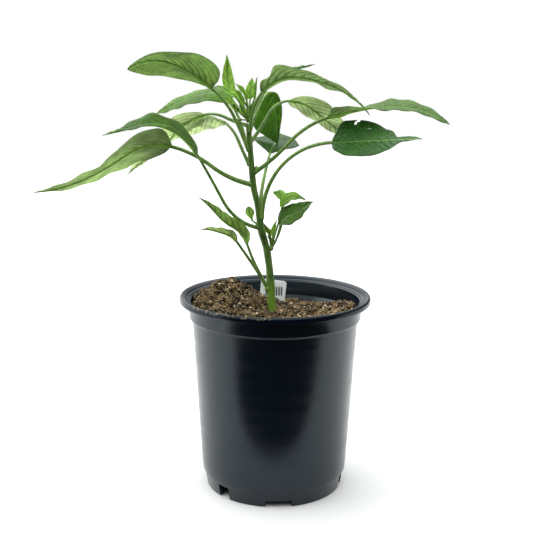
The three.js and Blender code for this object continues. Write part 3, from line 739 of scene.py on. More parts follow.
bmesh.ops.translate(
    tag_bm, verts=[g for g in bulk if isinstance(g, bmesh.types.BMVert)],
    vec=(0.0, 0.0, TAG_THICKNESS * MM))
bmesh.ops.translate(tag_bm, verts=tag_bm.verts, vec=(0.0, 0.0, -TAG_THICKNESS / 2 * MM))
bmesh.ops.recalc_face_normals(tag_bm, faces=tag_bm.faces)
tag_turn = Matrix.Rotation(math.radians(TAG_LEAN), 4, "Y") @ Matrix.Rotation(math.pi / 2, 4, "X")
bmesh.ops.transform(
    tag_bm, matrix=Matrix.Translation(Vector(TAG_PLACE) * MM) @ tag_turn, verts=tag_bm.verts)
tag = finish_piece(tag_bm, "tag_plate", [tag_finish()], "plant_tag", sharp=30)
tag_edge = tag.modifiers.new("soft_edge", "BEVEL")
tag_edge.width = TAG_EDGE * MM
tag_edge.segments = 2
print("tag:", [round(c / MM, 1) for c in tag.dimensions], "mm")

# %% [markdown]
# ## Stem and stalk finishes
#
# A young stem is fleshy and slightly see-through near its skin. It is mid-green with
# paler streaks that run along it. The streaks come from noise that is stretched along
# Z. Near the soil it is a fresh yellow-green. Stalks are paler and smoother, and a
# blade's midrib lets most of the light through.


# %% Stem finish
LOW_GREEN = (0.17, 0.34, 0.03)
LOW_GREEN_HEIGHTS = (190.0, 168.0)
STALK_DARK, STALK_PALE = (0.075, 0.17, 0.03), (0.24, 0.40, 0.09)
STEM_GLOW = (0.72, 0.95, 0.40)


def stem_finish(name, dark, pale, streak_scale, through):
    finish = Finish(name)
    stretched = finish.add(
        "Mapping", {"Vector": finish.place, "Scale": (1.0, 1.0, 0.16)}).outputs[0]
    streaks = finish.noise(stretched, streak_scale, 4.0, 0.6)
    blotches = finish.noise(finish.place, 60.0, 3.0)
    share = finish.math("ADD", finish.times(streaks, 0.75), finish.times(blotches, 0.35))
    colour = finish.mix(finish.band(share, 0.35, 0.72), dark, pale)
    low = finish.band(finish.millimetres("Z"), *LOW_GREEN_HEIGHTS, 0.0, 0.7)
    colour = finish.mix(low, colour, LOW_GREEN)
    shader = finish.add("BsdfPrincipled", {
        "Base Color": colour,
        "Roughness": 0.42,
        "Subsurface Weight": 0.15,
        "Subsurface Radius": (0.4, 0.8, 0.2),
        "Subsurface Scale": 0.001,
        "Normal": finish.bump(streaks, 0.0004, 0.5),
    })
    return finish.see_through(
        through, shader, finish.add("BsdfTranslucent", {"Color": STEM_GLOW}))


STEM_GREEN = stem_finish("stem_green", (0.028, 0.074, 0.011), (0.14, 0.26, 0.045), 420.0, 0.07)
STALK_GREEN = stem_finish("stalk_green", STALK_DARK, STALK_PALE, 320.0, 0.14)
RIB_GREEN = stem_finish("rib_green", STALK_DARK, STALK_PALE, 320.0, 0.7)

# %% [markdown]
# ## Tubes
#
# The stem and the stalks are tubes. Blender's curves could make them, but a tube that
# is extruded ring by ring keeps its ends closed and its radius exact at every point. A
# circle is created at the first point; each extrusion then copies the last ring, and
# one matrix carries the copy to the next point, turned along the line and scaled.


# %% Tube maker
# Each ring's first side is square to this direction, which no tube quite follows.
RING_GUIDE = Vector((0.13, 0.99, 0.05))


def ring_frame(point, along, radius):
    side = RING_GUIDE.cross(along).normalized()
    up = along.cross(side).normalized()
    turned = Matrix((side, up, along.normalized())).transposed().to_4x4()
    return Matrix.Translation(point) @ turned @ Matrix.Diagonal((radius, radius, radius, 1.0))


def add_tube(bm, points, radii, sides):
    """Adds a closed round tube, in metres, and returns its faces."""
    before = set(bm.faces)
    frames = []
    for number, point in enumerate(points):
        ahead = points[min(number + 1, len(points) - 1)]
        behind = points[max(number - 1, 0)]
        frames.append(ring_frame(point, (ahead - behind).normalized(), radii[number]))
    ring = bmesh.ops.create_circle(
        bm, cap_ends=True, segments=sides, radius=1.0, matrix=frames[0])["verts"]
    edges = [bm.edges.get(pair) for pair in zip(ring, ring[1:] + ring[:1])]
    for last, this in zip(frames, frames[1:]):
        made = bmesh.ops.extrude_edge_only(bm, edges=edges)["geom"]
        verts = [g for g in made if isinstance(g, bmesh.types.BMVert)]
        edges = [
            g for g in made
            if isinstance(g, bmesh.types.BMEdge) and all(v in verts for v in g.verts)]
        bmesh.ops.transform(bm, matrix=this @ last.inverted(), verts=verts)
    bmesh.ops.edgeloop_fill(bm, edges=edges)
    faces = [f for f in bm.faces if f not in before]
    bmesh.ops.recalc_face_normals(bm, faces=faces)
    return faces


# %% [markdown]
# ## Stem
#
# The stem bends a little at each leaf and swells there. Its stations give the height,
# the sideways place and the radius. Straight lines join the stations, and the bends are
# rounded over a few millimetres. Five low ridges run up it, as on a real pepper stem,
# which isn't quite round. A separate program worked the stations' heights and sideways
# places out from points along the real stem. They were rounded, and a few were changed
# or added. The radii were chosen.

# %% Stem
STEM_PATH = [
    (120, -2.6, 3.0), (157, -2.5, 3.4), (176, -3.7, 3.6), (195, -5.2, 3.0),
    (206, -6.9, 3.2), (212, -8.0, 2.9), (224, -12.0, 3.3), (237, -14.0, 2.8),
    (248, -15.6, 2.5), (261, -18.9, 2.7), (274, -20.4, 2.7), (296, -22.1, 2.4),
    (316, -23.7, 2.1),
]
STEM_STATIONS = 110
STEM_SIDES = 20
STEM_RIDGES = 5
RIDGE_SHARE = 0.06
RIDGE_TWIST = 20.0
EASE_STEPS = (-4.0, -2.0, 0.0, 2.0, 4.0)


def eased(knots, values, at):
    """A value between the knots, with the corners rounded over a few millimetres."""
    return sum(between(knots, values, at + step) for step in EASE_STEPS) / len(EASE_STEPS)


stem_z, stem_x, stem_r = [list(column) for column in zip(*STEM_PATH)]


def stem_at(z):
    return Vector((between(stem_z, stem_x, z), 0.0, z))


stem_bm = bmesh.new()
stem_step = (stem_z[-1] - stem_z[0]) / STEM_STATIONS
heights = [stem_z[0] + stem_step * i for i in range(STEM_STATIONS + 1)]
stem_line = [Vector((eased(stem_z, stem_x, z), 0.0, z)) * MM for z in heights]
stem_radii = [between(stem_z, stem_r, z) * MM for z in heights]
add_tube(stem_bm, stem_line, stem_radii, STEM_SIDES)
for vert in stem_bm.verts:
    middle = Vector((eased(stem_z, stem_x, vert.co.z / MM) * MM, 0.0, vert.co.z))
    outward = vert.co - middle
    angle = STEM_RIDGES * math.atan2(outward.y, outward.x) + RIDGE_TWIST * vert.co.z
    vert.co = middle + outward * (1.0 + RIDGE_SHARE * math.cos(angle))
stem = finish_piece(stem_bm, "stem_skin", [STEM_GREEN], "stem", sharp=60)
print("stem:", [round(c / MM, 1) for c in stem.dimensions], "mm")

# %% [markdown]
# ## Leaf finishes
#
# A pepper leaf has two different faces. The upper face is darker and glossy, with its
# veins pressed in; the underside is a paler, greyer green, and its veins stand out. Both
# let light through, so a leaf with light behind it glows a warmer green. A Translucent
# shader mixed with the Principled one does that for a thin sheet.
#
# The veins are drawn from the leaf's own UV map, which holds millimetres: U runs along
# the midrib and V across it. A side vein starts at the midrib and bends towards the
# tip, so its distance along the leaf is a little more than the distance across, and a
# repeating pattern of that number gives the whole set of veins. A vein is thicker than
# the blade round it, so it lets less light through and is a dark line against the light.
#
# Three colours are stored in the mesh for each point: tint for the upper face, under
# for the underside, and glow for the light that comes through. The fourth number of
# glow is how much of the light does. Each leaf's colours are partly its own green and
# partly painted light and shade: a leaf that is strongly lit, or lit from behind, is
# given paler colours, and a shaded one darker colours.

# %% Leaf finish
VEIN_PITCH = 7.5
VEIN_SLANT = 1.15
VEIN_BOW = 0.02
VEIN_WANDER = 5.0
VEIN_REACH = 16.0
VEIN_WIDTHS = (0.13, 0.07)
VEIN_SHADE = (0.30, 0.46, 0.20)
MIDRIB_EDGE = (1.1, 0.3)
FINE_VEINS = 3.0


def vein_pattern(finish):
    """How much of a vein each point is, and how far it lies from one vein to the next."""
    spot = finish.add("SeparateXYZ", {0: finish.add("UVMap", uv_map="leaf").outputs[0]})
    along, across = spot.outputs["X"], spot.outputs["Y"]
    away = finish.math("ABSOLUTE", across)
    wander = finish.math("SUBTRACT", finish.noise(finish.place, 45.0, 2.0), 0.5)
    bow = finish.times(finish.math("POWER", away, 2.0), VEIN_BOW)
    start = finish.math("SUBTRACT", along, finish.times(away, VEIN_SLANT))
    start = finish.math("SUBTRACT", start, bow)
    start = finish.math("ADD", start, finish.times(wander, VEIN_WANDER))
    hand = finish.times(finish.math("GREATER_THAN", across, 0.0), 0.5)
    phase = finish.math("ADD", finish.math("DIVIDE", start, VEIN_PITCH), hand)
    width = finish.band(away, 0.0, VEIN_REACH, *VEIN_WIDTHS)
    near = finish.math("PINGPONG", phase, 0.5)
    vein = finish.math("SUBTRACT", 1.0, finish.band(near, 0.0, width))
    return finish.math("MAXIMUM", vein, finish.band(away, *MIDRIB_EDGE)), phase


def leaf_finish(name, tint_name, vein_colour, vein_share, rough, bump_sign):
    finish = Finish(name)
    place = finish.place
    vein, phase = vein_pattern(finish)
    net = finish.add(
        "TexVoronoi", {"Vector": place, "Scale": 330.0}, feature="DISTANCE_TO_EDGE").outputs[0]
    lines = finish.math("MAXIMUM", vein, finish.times(finish.band(net, 0.09, 0.0), 0.35))
    fine = finish.math("PINGPONG", finish.times(phase, FINE_VEINS), 0.5)
    mottle = finish.noise(place, 120.0, 4.0, 0.6)
    blotch = finish.noise(place, 38.0, 2.0)
    shade = finish.times(
        finish.band(mottle, 0.3, 0.7, 0.86, 1.13),
        finish.band(blotch, 0.35, 0.65, 0.86, 1.14), finish.band(fine, 0.0, 0.22, 0.72, 1.0))
    shade = finish.add("CombineColor", {0: shade, 1: shade, 2: shade}).outputs[0]

    tint = finish.add("Attribute", attribute_name=tint_name).outputs["Color"]
    colour = finish.mix(1.0, tint, shade, "MULTIPLY")
    colour = finish.mix(finish.times(lines, vein_share), colour, vein_colour)
    height = finish.math("ADD", finish.times(lines, bump_sign), finish.times(mottle, 0.5))
    normal = finish.bump(height, 0.0008, 0.9)
    skin = finish.add("BsdfPrincipled", {
        "Base Color": colour,
        "Roughness": rough,
        "Specular IOR Level": 0.26,
        "Normal": normal,
    })

    light = finish.add("Attribute", attribute_name="glow")
    warm = finish.mix(1.0, light.outputs["Color"], shade, "MULTIPLY")
    shaded = finish.mix(1.0, warm, VEIN_SHADE, "MULTIPLY")
    warm = finish.mix(finish.times(vein, 0.85), warm, shaded)
    glow = finish.add("BsdfTranslucent", {"Color": warm, "Normal": normal})
    thin = finish.math("SUBTRACT", 1.0, finish.times(vein, 0.5))
    through = finish.times(light.outputs["Alpha"], thin)
    return finish.see_through(through, skin, glow)


LEAF_SKINS = [
    leaf_finish("leaf_upper_face", "tint", (0.22, 0.39, 0.12), 0.6, 0.38, -1.0),
    leaf_finish("leaf_underside", "under", (0.11, 0.21, 0.05), 0.6, 0.6, 1.0),
]

# %% [markdown]
# ## The shape of a leaf
#
# All leaves share one recipe, and differ in their numbers: the height where they leave
# the stem, the lengths of stalk and blade, and a few angles that bend and twist them.
# The stalk and the midrib are one bent line. The blade is a flat grid, and each of its
# points is carried to its place beside that line: so far along, so far to the side,
# lifted by the fold and the curl of that half.
#
# Between its side veins a pepper leaf bulges up a little, like quilted cloth, and its
# edge waves. Both are added along the blade's own upright direction. They are real
# shape and not a bump, because they show in the outline.

# %% Leaf centre line
LINE_STEPS = 96


def heading(rise, turn):
    rise, turn = math.radians(rise), math.radians(turn)
    return Vector((
        math.cos(rise) * math.cos(turn), math.cos(rise) * math.sin(turn), math.sin(rise)))


def leaf_line(leaf, start):
    """Points of the stalk, and points and headings along the blade, in millimetres."""
    stalk, blade = leaf["petiole"], leaf["blade"]
    whole = stalk + blade
    rise_knots = [0, stalk / 2, stalk, stalk + blade / 3, stalk + 2 * blade / 3, whole]

    def heading_at(s):
        return heading(
            between(rise_knots, leaf["rise"], s), between([0, stalk, whole], leaf["turn"], s))

    def walk(first, low, high):
        step = (high - low) / LINE_STEPS
        points = [first.copy()]
        for number in range(LINE_STEPS):
            points.append(points[-1] + heading_at(low + (number + 0.5) * step) * step)
        return points

    stalk_points = walk(start, 0, stalk)
    blade_points = walk(stalk_points[-1], stalk, whole)
    headings = [heading_at(stalk + blade * i / LINE_STEPS) for i in range(LINE_STEPS + 1)]
    return stalk_points, blade_points, headings


# %% Leaf outline and cross-section
OUTLINE_EASE = (-0.03, -0.015, 0.0, 0.015, 0.03)
OTHER_EDGE_SHIFT = 2.1
LEAST_AT_BASE, LEAST_AT_TIP = 0.6, 0.1
QUILT_HEIGHT, QUILT_START = 0.5, 3.0
GROOVE_DEPTH, GROOVE_WIDTH = 0.4, 1.2


def lobe(u, swell, taper):
    if u <= 0 or u >= 1:
        return 0.0
    widest = swell / (swell + taper)
    return u ** swell * (1 - u) ** taper / (widest ** swell * (1 - widest) ** taper)


def half_width(leaf, u, hand):
    """Width of one half, from the leaf's own outline if that half has one."""
    outline = leaf.get("left" if hand > 0 else "right")
    if outline:
        knots, widths = zip((0, 0), *outline, (1, 0))
        width = sum(between(knots, widths, u + step) for step in OUTLINE_EASE)
        width /= len(OUTLINE_EASE)
    else:
        width = leaf["width"] / 2 * lobe(u, leaf.get("swell", 0.75), leaf.get("taper", 1.15))
    return max(width, LEAST_AT_BASE + (LEAST_AT_TIP - LEAST_AT_BASE) * u)


def angle_at(value, u):
    if isinstance(value, (int, float)):
        return math.radians(value)
    return math.radians(between([0, 0.5, 1], value, u))


def blade_frame(leaf, tangent, u):
    """The blade's own sideways and upright directions."""
    across = heading(0, (leaf["turn"][1] + leaf["turn"][2]) / 2 + 90)
    side = (across - tangent * across.dot(tangent)).normalized()
    up = tangent.cross(side)
    roll = Matrix.Rotation(angle_at(leaf.get("roll", 0), u), 3, tangent)
    return roll @ side, roll @ up


def relief(leaf, u, v, along, away):
    """Quilting between the side veins, waves at the edge and the midrib's groove."""
    phase = (along - VEIN_SLANT * away - VEIN_BOW * away ** 2) / VEIN_PITCH
    phase += 0.5 if v > 0 else 0.0
    quilt = leaf.get("quilt", QUILT_HEIGHT) * math.sin(math.pi * phase) ** 2
    quilt *= min(1.0, away / QUILT_START) * (1 - abs(v) ** 6)
    groove = -GROOVE_DEPTH * math.exp(-(away / GROOVE_WIDTH) ** 2)
    reach, length, shift = leaf.get("wave", (0.8, 24.0, 0.0))
    shift += OTHER_EDGE_SHIFT if v > 0 else 0.0
    wave = reach * abs(v) ** 3 * math.sin(FULL_TURN * along / length + shift)
    return quilt + groove + wave * math.sin(math.pi * u) ** 0.5


def blade_point(leaf, points, headings, u, v):
    """Where the grid's point (u along, v across from -1 right to 1 left) goes."""
    exact = u * LINE_STEPS
    low = min(int(exact), LINE_STEPS - 1)
    point = points[low].lerp(points[low + 1], exact - low)
    tangent = headings[low].lerp(headings[low + 1], exact - low).normalized()
    side, up = blade_frame(leaf, tangent, u)
    hand = -1 if v < 0 else 1
    width = half_width(leaf, u, hand)
    fold = angle_at(leaf.get("fold", 10), u)
    curl = math.radians(leaf.get("curl", 0)) + 1e-6
    bend = fold + curl * abs(v)
    out = width / curl * (math.sin(bend) - math.sin(fold))
    lift = -width / curl * (math.cos(bend) - math.cos(fold))
    normal = up * math.cos(bend) - side * (hand * math.sin(bend) if v else 0)
    along, away = u * leaf["blade"], abs(v) * width
    where = point + side * (hand * out) + up * lift
    where += normal * relief(leaf, u, v, along, away)
    return where, (along, hand * away)


# %% [markdown]
# Two makers put these together. The blade is a grid from bmesh, with its UV map in
# millimetres and its three colours. A Solidify modifier gives it its thickness, and puts
# the second material on its underside. Where something has bitten a blade, the grid's
# faces inside each bite are deleted. A bite is given on the flat grid: u runs from 0 at
# the base to 1 at the tip, and v from -1 at the right edge to 1 at the left.
#
# The stalk is a tube, and a second, thinner one runs on below the blade as the raised
# midrib and thins out towards the tip. The midrib has a finish of its own, because it
# lets light through and the stalk hardly does.

# %% Blade and stalk makers
BLADE_THICKNESS = 0.45
EVENLY_LIT = [(0, 1), (1, 1)]
STALK_SIDES, BUD_SIDES = 10, 8
# The stalk's radius at the stem and what it loses by the blade, by its nominal radius.
STALK_FOOT, STALK_TAPER = 1.3, 0.45
# The midrib's radius at the blade's base, at its tip, and the even part between.
RIB_BASE, RIB_TIP, RIB_SHARE = 0.85, 0.12, 0.42
# How far the midrib's tube hangs below the blade, and where it has got there.
RIB_SUNK, RIB_SUNK_SHARE, RIB_SUNK_BY = 0.2, 0.45, 0.06
BUD_STALK, BUD_RADIUS, BUD_STRETCH = 0.6, 1.5, 1.4
LARGE_GRID = (34, 84)
SMALL_GRID = (16, 40)


def is_eaten(middle, bites):
    """Whether this place of the flat grid lies in a bite of the blade."""
    u, v = (middle.y + 1) / 2, -middle.x
    return any(low < u < high and near < v < far for low, high, near, far in bites)


def blade_colours(leaf, u):
    """Tint, under and glow at one place along a blade, as four numbers each."""
    lit = between(*zip(*leaf.get("lit", EVENLY_LIT)), u)
    *glow, share = leaf["glow"]
    under = [colour * lit for colour in leaf["under"]]
    return (*leaf["tint"], 1.0), (*under, 1.0), (*[colour * lit for colour in glow], share)


def add_blade(bm, leaf, start, grid):
    uv = bm.loops.layers.uv.get("leaf") or bm.loops.layers.uv.new("leaf")
    tints = [
        bm.verts.layers.float_color.get(name) or bm.verts.layers.float_color.new(name)
        for name in ("tint", "under", "glow")]
    _, points, headings = leaf_line(leaf, start)
    verts = bmesh.ops.create_grid(bm, x_segments=grid[0], y_segments=grid[1], size=1.0)["verts"]
    sheet = {f for v in verts for f in v.link_faces}
    bites = leaf.get("bites", [])
    eaten = [face for face in sheet if is_eaten(face.calc_center_median(), bites)]
    spots = {}
    for vert in verts:
        u, v = (vert.co.y + 1) / 2, -vert.co.x
        v = 0.0 if abs(v) < 1e-6 else v
        where, spots[vert] = blade_point(leaf, points, headings, u, v)
        vert.co = where * MM
        for layer, colour in zip(tints, blade_colours(leaf, u)):
            vert[layer] = colour
    for face in sheet:
        for loop in face.loops:
            loop[uv].uv = spots[loop.vert]
    bmesh.ops.delete(bm, geom=eaten, context="FACES")


def add_stalk(bm, leaf, start, radius):
    """The stalk as one tube, and the midrib under the blade as a thinner one."""
    stalk, points, headings = leaf_line(leaf, start)
    line, radii = [], []
    for number in range(0, LINE_STEPS + 1, 4):
        share = number / LINE_STEPS
        line.append(stalk[number] * MM)
        radii.append(radius * (STALK_FOOT - STALK_TAPER * share ** 0.6) * MM)
    add_tube(bm, line, radii, STALK_SIDES)
    rib, rib_radii = [line[-1]], [radii[-1]]
    for number in range(2, LINE_STEPS, 3):
        u = number / LINE_STEPS
        even, thick = RIB_SHARE * (1 - u), (RIB_BASE - RIB_SHARE) * (1 - u) ** 8
        thin = radius * (RIB_TIP + even + thick)
        _, up = blade_frame(leaf, headings[number], u)
        sunk = BLADE_THICKNESS / 2 + thin * RIB_SUNK_SHARE + RIB_SUNK
        sunk *= min(1.0, u / RIB_SUNK_BY)
        rib.append((points[number] - up * sunk) * MM)
        rib_radii.append(thin * MM)
    for face in add_tube(bm, rib, rib_radii, STALK_SIDES):
        face.material_index = 1


def add_bud(bm, start, place):
    """A closed flower bud, longer than it is thick, on a thin stalk of its own."""
    along = (place - start).normalized()
    add_tube(bm, [start * MM, place * MM], [BUD_STALK * MM] * 2, BUD_SIDES)
    shape = Matrix.Diagonal((*[BUD_RADIUS * MM] * 2, BUD_RADIUS * BUD_STRETCH * MM, 1.0))
    turned = along.to_track_quat("Z", "Y").to_matrix().to_4x4()
    bmesh.ops.create_uvsphere(
        bm, u_segments=12, v_segments=8, radius=1.0,
        matrix=Matrix.Translation(place * MM) @ turned @ shape)


def make_leaves(node, leaves, start, knob, buds, grid, radius):
    """One blade piece and one stalk piece for a CAD node's leaves."""
    blades, stalks = bmesh.new(), bmesh.new()
    bmesh.ops.create_uvsphere(
        stalks, u_segments=16, v_segments=10, radius=knob * MM,
        matrix=Matrix.Translation(start * MM))
    for leaf in leaves:
        add_blade(blades, leaf, start, grid)
        add_stalk(stalks, leaf, start, leaf.get("stalk", radius))
    for place in buds:
        add_bud(stalks, start, Vector(place))
    blade = finish_piece(blades, node + "_blade", LEAF_SKINS, node, sharp=180)
    thick = blade.modifiers.new("thickness", "SOLIDIFY")
    thick.thickness = BLADE_THICKNESS * MM
    thick.offset = 0.0
    thick.material_offset = 1
    thick.material_offset_rim = 1
    stalk = finish_piece(stalks, node + "_stalk", [STALK_GREEN, RIB_GREEN], node, sharp=60)
    print(node, "blade", len(blade.data.polygons), "stalk", len(stalk.data.polygons))
    return blade, stalk


# %% [markdown]
# ## The large leaves
#
# Each leaf has its own numbers. Lengths are in millimetres and angles in degrees:
#
# - height is where it leaves the stem, and petiole is the length of its stalk;
# - rise and turn point the stalk and the blade up and round, from the stem to the tip;
# - roll, fold and curl lean the blade over, fold it along the midrib and bend its halves;
# - blade and width are the blade's length and its widest, and stalk the stalk's radius;
# - swell and taper round the base and the tip, or left and right give the half widths;
# - wave is how high and how long the waves of its edge are, and where they start;
# - quilt is how high it bulges between its veins, and buds are places of flower buds;
# - lit makes it lighter or darker along its length, as its neighbours shade it;
# - bites are the nick and the hole of a leaf that something has eaten from.
#
# Most of these numbers weren't chosen by hand. Separate programs solved the lengths, the
# angles and most of the heights and outlines by least squares, against outline points
# of the real plant, and they were rounded to half a millimetre or one degree. A program
# also worked the buds' places out from where they are seen. Most of the widths, and the
# stalk radii, waves, quilting, colours, light and bites, were chosen.

# %% Large leaves
# The leaves' colours below are partly their own green and partly painted light and shade, given
# leaf by leaf.
MID = (0.045, 0.15, 0.025)
UNDER_GREY = (0.13, 0.27, 0.085)

LARGE_LEAVES = {
    "leaf_left_top": dict(
        height=294.5, petiole=61.5, blade=76, width=56,
        rise=[67, 61, 37, 31, 4, -36], turn=[215, 205, 197],
        roll=[21, 20, 26], fold=[29, 4, -10], curl=-13, swell=0.42, taper=0.62,
        tint=(0.035, 0.11, 0.02), under=(0.09, 0.17, 0.055), glow=(0.58, 0.76, 0.34, 0.43),
        wave=(0.5, 32.0, 0.0)),
    "leaf_left_upper": dict(
        height=293.5, petiole=45.5, blade=86, width=36,
        rise=[48, 67, 49, -11, -21, -27], turn=[115, 150, 152],
        roll=[-24, -22, -40], fold=[1, 3, 11], curl=-15, swell=0.78, taper=1.02,
        tint=(0.075, 0.17, 0.014), under=(0.085, 0.175, 0.03), glow=(0.55, 0.77, 0.22, 0.44),
        wave=(0.7, 22.0, 1.0), quilt=0.7),
    "leaf_left_folded": dict(
        height=228.5, petiole=89, blade=88, width=38,
        rise=[13, 60, 58, 28, -12, -11], turn=[215, 210, 205],
        roll=[-30, -15, 4], fold=[27, 33, 20], curl=-36, swell=0.69, taper=1.32,
        tint=(0.03, 0.085, 0.008), under=(0.17, 0.32, 0.08), glow=(0.55, 0.78, 0.30, 0.40),
        wave=(1.0, 20.0, 0.6), quilt=0.7),
    "leaf_left_long": dict(
        height=265.5, petiole=74.5, blade=121, width=58, stalk=1.8,
        rise=[13, 38, 14, -35, -24, -3], turn=[188, 195, 183],
        roll=[36, 17, 24], fold=[8, 4, 8], curl=-11, swell=0.45, taper=1.2,
        left=[(0.08, 28), (0.2, 26), (0.4, 20), (0.6, 19), (0.8, 9.5)],
        tint=MID, under=(0.22, 0.37, 0.12), glow=(0.73, 0.88, 0.49, 0.55),
        wave=(0.7, 26.0, 0.0), lit=[(0, 0.45), (0.4, 0.9), (0.7, 1), (1, 0.85)]),
    "leaf_left_back_upper": dict(
        height=315, petiole=37.5, blade=97, width=38,
        rise=[14, 24, -12, -45, -33, -40], turn=[175, 156, 157],
        roll=[30, 1, 10], fold=[3, 12, 11], curl=-7, swell=0.69, taper=1.24,
        tint=MID, under=(0.30, 0.46, 0.18), glow=(0.86, 0.96, 0.62, 0.6),
        wave=(0.8, 22.0, 0.5)),
    "leaf_left_back_lower": dict(
        height=282, petiole=44.5, blade=90.5, width=41,
        rise=[60, 61, 24, -15, -24, -29], turn=[150, 135, 137],
        roll=[19, 12, 16], fold=[-2, 3, 6], curl=-20, swell=0.76, taper=1.12,
        tint=MID, under=(0.32, 0.47, 0.20), glow=(0.88, 0.97, 0.66, 0.64),
        wave=(0.7, 22.0, 0.2)),
    "leaf_right_top": dict(
        height=310, petiole=35, blade=107, width=42,
        rise=[85, 70, 48, -5, -22, -48], turn=[-60, -23, -32],
        roll=[-20, -20, -20], fold=[31, 7, 7], curl=-9, swell=0.7, taper=1.2,
        right=[(0.05, 9), (0.14, 6), (0.2, 16.5), (0.6, 14.5), (0.8, 9)],
        tint=(0.022, 0.075, 0.012), under=(0.15, 0.25, 0.09), glow=(0.67, 0.84, 0.46, 0.50),
        wave=(0.7, 27.0, 2.0)),
    "leaf_back_hanging": dict(
        height=309.5, petiole=50.5, blade=60.5, width=38,
        rise=[57, 44, 15, -63, -80, -78], turn=[64, 69, 74],
        roll=[1, 10, 7], fold=[-2, 1, 5], curl=-14,
        left=[(0.08, 10.5), (0.2, 13), (0.6, 26), (0.8, 22)],
        right=[(0.08, 4), (0.4, 7), (0.8, 2.5)],
        tint=MID, under=(0.035, 0.125, 0.008), glow=(0.44, 0.74, 0.10, 0.31),
        wave=(0.5, 28.0, 0.0), lit=[(0, 1), (0.6, 1), (1, 0.75)]),
    "leaf_right_back": dict(
        height=302, petiole=51, blade=81, width=34,
        rise=[47, 59, 1, -34, -33, -29], turn=[30, 33, 36],
        roll=[-24, -13, -19], fold=[7, 11, 9], curl=-7, swell=0.72, taper=1.15,
        tint=MID, under=(0.26, 0.40, 0.15), glow=(0.74, 0.85, 0.53, 0.52),
        wave=(0.6, 24.0, 0.0)),
    "leaf_right_long": dict(
        height=275.5, petiole=78, blade=102, width=36, stalk=1.6,
        rise=[34, 48, 18, 10, -8, -36], turn=[-12, -11, -11],
        roll=[-25, 16, 18], fold=[12, 7, 5], curl=-11,
        left=[(0.08, 12.5), (0.2, 16.5), (0.6, 18), (0.8, 11)],
        right=[(0.08, 17.5), (0.2, 18.5), (0.4, 16), (0.6, 9), (0.92, 8)],
        buds=[(-16.7, 0, 279.1)],
        tint=(0.065, 0.155, 0.02), under=(0.12, 0.19, 0.065), glow=(0.52, 0.66, 0.32, 0.37),
        wave=(0.6, 17.0, 0.0), quilt=0.7, lit=[(0, 1.45), (0.3, 1.45), (0.45, 1), (1, 1)]),
    "leaf_right_dark": dict(
        height=237, petiole=100.5, blade=78, width=48, stalk=1.6,
        rise=[88, 46, 4, 5, 5, 4], turn=[-35, -22, -41],
        roll=[40, 30, 31], fold=[25, -1, -9], curl=-10,
        left=[(0.06, 20), (0.2, 23.5), (0.4, 24.5), (0.6, 14), (0.7, 3), (0.765, 6),
              (0.92, 2.5)],
        right=[(0.06, 14.5), (0.2, 20.5), (0.4, 21.5), (0.6, 15.5), (0.7, 11.5), (0.765, 3),
               (0.92, 1)],
        tint=(0.010, 0.075, 0.004), under=UNDER_GREY, glow=(0.30, 0.50, 0.20, 0.12),
        bites=[(0.2, 0.235, 0.86, 1), (0.185, 0.215, 0.76, 0.92), (0.33, 0.365, 0.58, 0.66)],
        wave=(0.6, 24.0, 0.0), quilt=0.7),
    "leaf_back_short": dict(
        height=240.5, petiole=63, blade=60, width=45, stalk=1.5,
        rise=[70, 44, 38, 3, 18, 15], turn=[80, 77, 92],
        roll=[13, 7, 1], fold=[17, 5, 1], curl=-8, swell=0.97, taper=1.1,
        tint=(0.012, 0.055, 0.005), under=(0.04, 0.10, 0.02), glow=(0.27, 0.48, 0.14, 0.25),
        wave=(0.6, 20.0, 0.0)),
}
LARGE_STALK = 1.35
KNOB = 1.4
SEAT = 0.2

for node, leaf in LARGE_LEAVES.items():
    reach = between(stem_z, stem_r, leaf["height"]) - SEAT
    start = stem_at(leaf["height"]) + heading(0, leaf["turn"][0]) * reach
    knob = leaf.get("stalk", LARGE_STALK) * KNOB
    make_leaves(node, [leaf], start, knob, leaf.get("buds", []), LARGE_GRID, LARGE_STALK)

# %% [markdown]
# ## The young shoots
#
# Young leaves are smaller, lighter and more quilted. The leaves of a shoot start from
# one point, beside the stem or just above its tip, so each shoot stays one piece of
# blades and one of stalks. The lengths and angles here were solved in the same way.

# %% Young shoots
# Young leaves are a lighter green; where a shoot leaf has colours of its own below, they also
# paint how strongly it is lit.
BRIGHT = (0.15, 0.34, 0.022)
BRIGHT_UNDER = (0.23, 0.43, 0.07)
BRIGHT_GLOW = (0.74, 0.93, 0.36, 0.5)


def young(petiole, blade, width, rise, turn, **more):
    leaf = dict(petiole=petiole, blade=blade, width=width, rise=rise, turn=turn)
    leaf.update(tint=BRIGHT, under=BRIGHT_UNDER, glow=BRIGHT_GLOW, wave=(0.5, 9.0, 0.0), quilt=0.6)
    leaf.update(more)
    return leaf


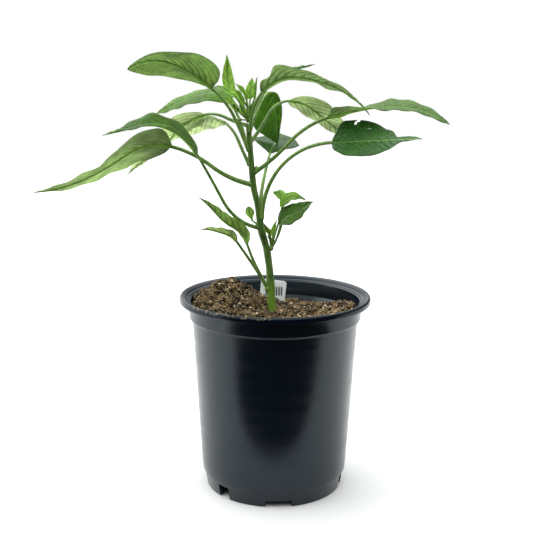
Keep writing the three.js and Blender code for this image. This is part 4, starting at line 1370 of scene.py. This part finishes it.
SHOOTS = {
    "shoot_tip": dict(height=319, turn=0, reach=0, knob=2.1, leaves=[
        young(26, 41.5, 11, [56, 58, 19, 57, 88, 85], [150, 122, 104], fold=[9, 7, 10]),
        young(16, 17.5, 10, [85, 89, 82, 54, 48, 49], [200, 200, 200], roll=-36),
        young(18, 19, 8.5, [75, 65, 72, 77, 68, 69], [80, 75, 75]),
        young(17.5, 19, 6, [74, 74, 73, 84, 87, 82], [20, 8, -2], roll=[-2, -11, -2], fold=24),
        young(11, 18.5, 11, [43, 40, 43, 49, 48, 45], [178, 179, 183], roll=[-27, -29, -31]),
        young(20, 20, 6, [66, 64, 52, 22, 39, 29], [165, 165, 165], roll=-30),
        young(12.5, 17, 13.5, [74, 70, 67, 54, 55, 60], [215, 211, 212], roll=[-40, -46, -44]),
        young(2.5, 17.5, 8, [67, 62, 48, 30, 46, 56], [250, 241, 243]),
        young(40.5, 44, 9, [48, 62, 39, 21, 9, 21], [28, 31, 31],
              roll=-20,
              tint=(0.04, 0.12, 0.02), under=(0.10, 0.20, 0.06), glow=(0.52, 0.7, 0.38, 0.4)),
    ], buds=[
        (-36, 0, 331.5), (-33, 2, 328.5), (-25, -3, 332.5), (-21.5, 1, 330.5), (-31, -2, 319.5)]),
    "side_shoot_right": dict(height=210.5, turn=-10, reach=3.8, knob=2.4, leaves=[
        young(22.5, 39, 21, [45, 73, 78, 17, 38, 33], [-30, -26, -28],
              roll=[58, 50, 56], fold=[10, 5, 3],
              tint=(0.06, 0.15, 0.016), under=(0.09, 0.19, 0.04), glow=(0.4, 0.6, 0.15, 0.3)),
        young(36, 26.5, 16, [75, 73, 81, 36, -10, -27], [-10, 8, 9], roll=19),
        young(43, 16.5, 9, [57, 68, 79, 35, -1, 26], [-10, 114, 148], roll=-30),
        young(10.5, 14, 5, [76, 74, 74, 67, 63, 70], [60, 57, 58], fold=30),
        young(10.5, 17, 6, [97, 89, 53, 43, 48, 62], [-80, -114, -119], fold=20),
    ], buds=[(-5.5, -2, 221)]),
    "side_shoot_left": dict(height=231, turn=165, reach=3, knob=1.4, leaves=[
        young(4.5, 13.5, 11, [41, 35, 50, 65, 82, 87], [165, 191, 241],
              roll=[1, 9, 1], fold=[10, 4, 10], swell=1.18, taper=0.48),
    ]),
    "side_shoot_base": dict(height=175.5, turn=207, reach=3.2, knob=2.6, leaves=[
        young(45.5, 60.5, 20, [58, 62, 71, 29, 50, 38], [215, 207, 201],
              roll=[26, 15, 8], fold=[23, 25, 26], stalk=1.3,
              under=(0.32, 0.5, 0.2)),
        young(51, 33, 17.5, [60, 56, 55, 18, 16, -4], [200, 194, 189],
              roll=[30, 20, 22], fold=13, stalk=1.3,
              under=(0.4, 0.62, 0.25), glow=(0.9, 1.0, 0.6, 0.7)),
    ]),
}
SMALL_STALK = 0.85

for node, shoot in SHOOTS.items():
    start = stem_at(shoot["height"]) + heading(0, shoot["turn"]) * shoot["reach"]
    make_leaves(
        node, shoot["leaves"], start, shoot["knob"], shoot.get("buds", []), SMALL_GRID,
        SMALL_STALK)

# %% [markdown]
# ## Sizes
#
# Both boxes, of the solid model and of the finished plant, are printed side by side.

# %% Sizes, and the end
new_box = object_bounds()
for label, box in (("solid", cad_box), ("visual", new_box)):
    print(label, [[round(c / MM, 1) for c in corner] for corner in box])
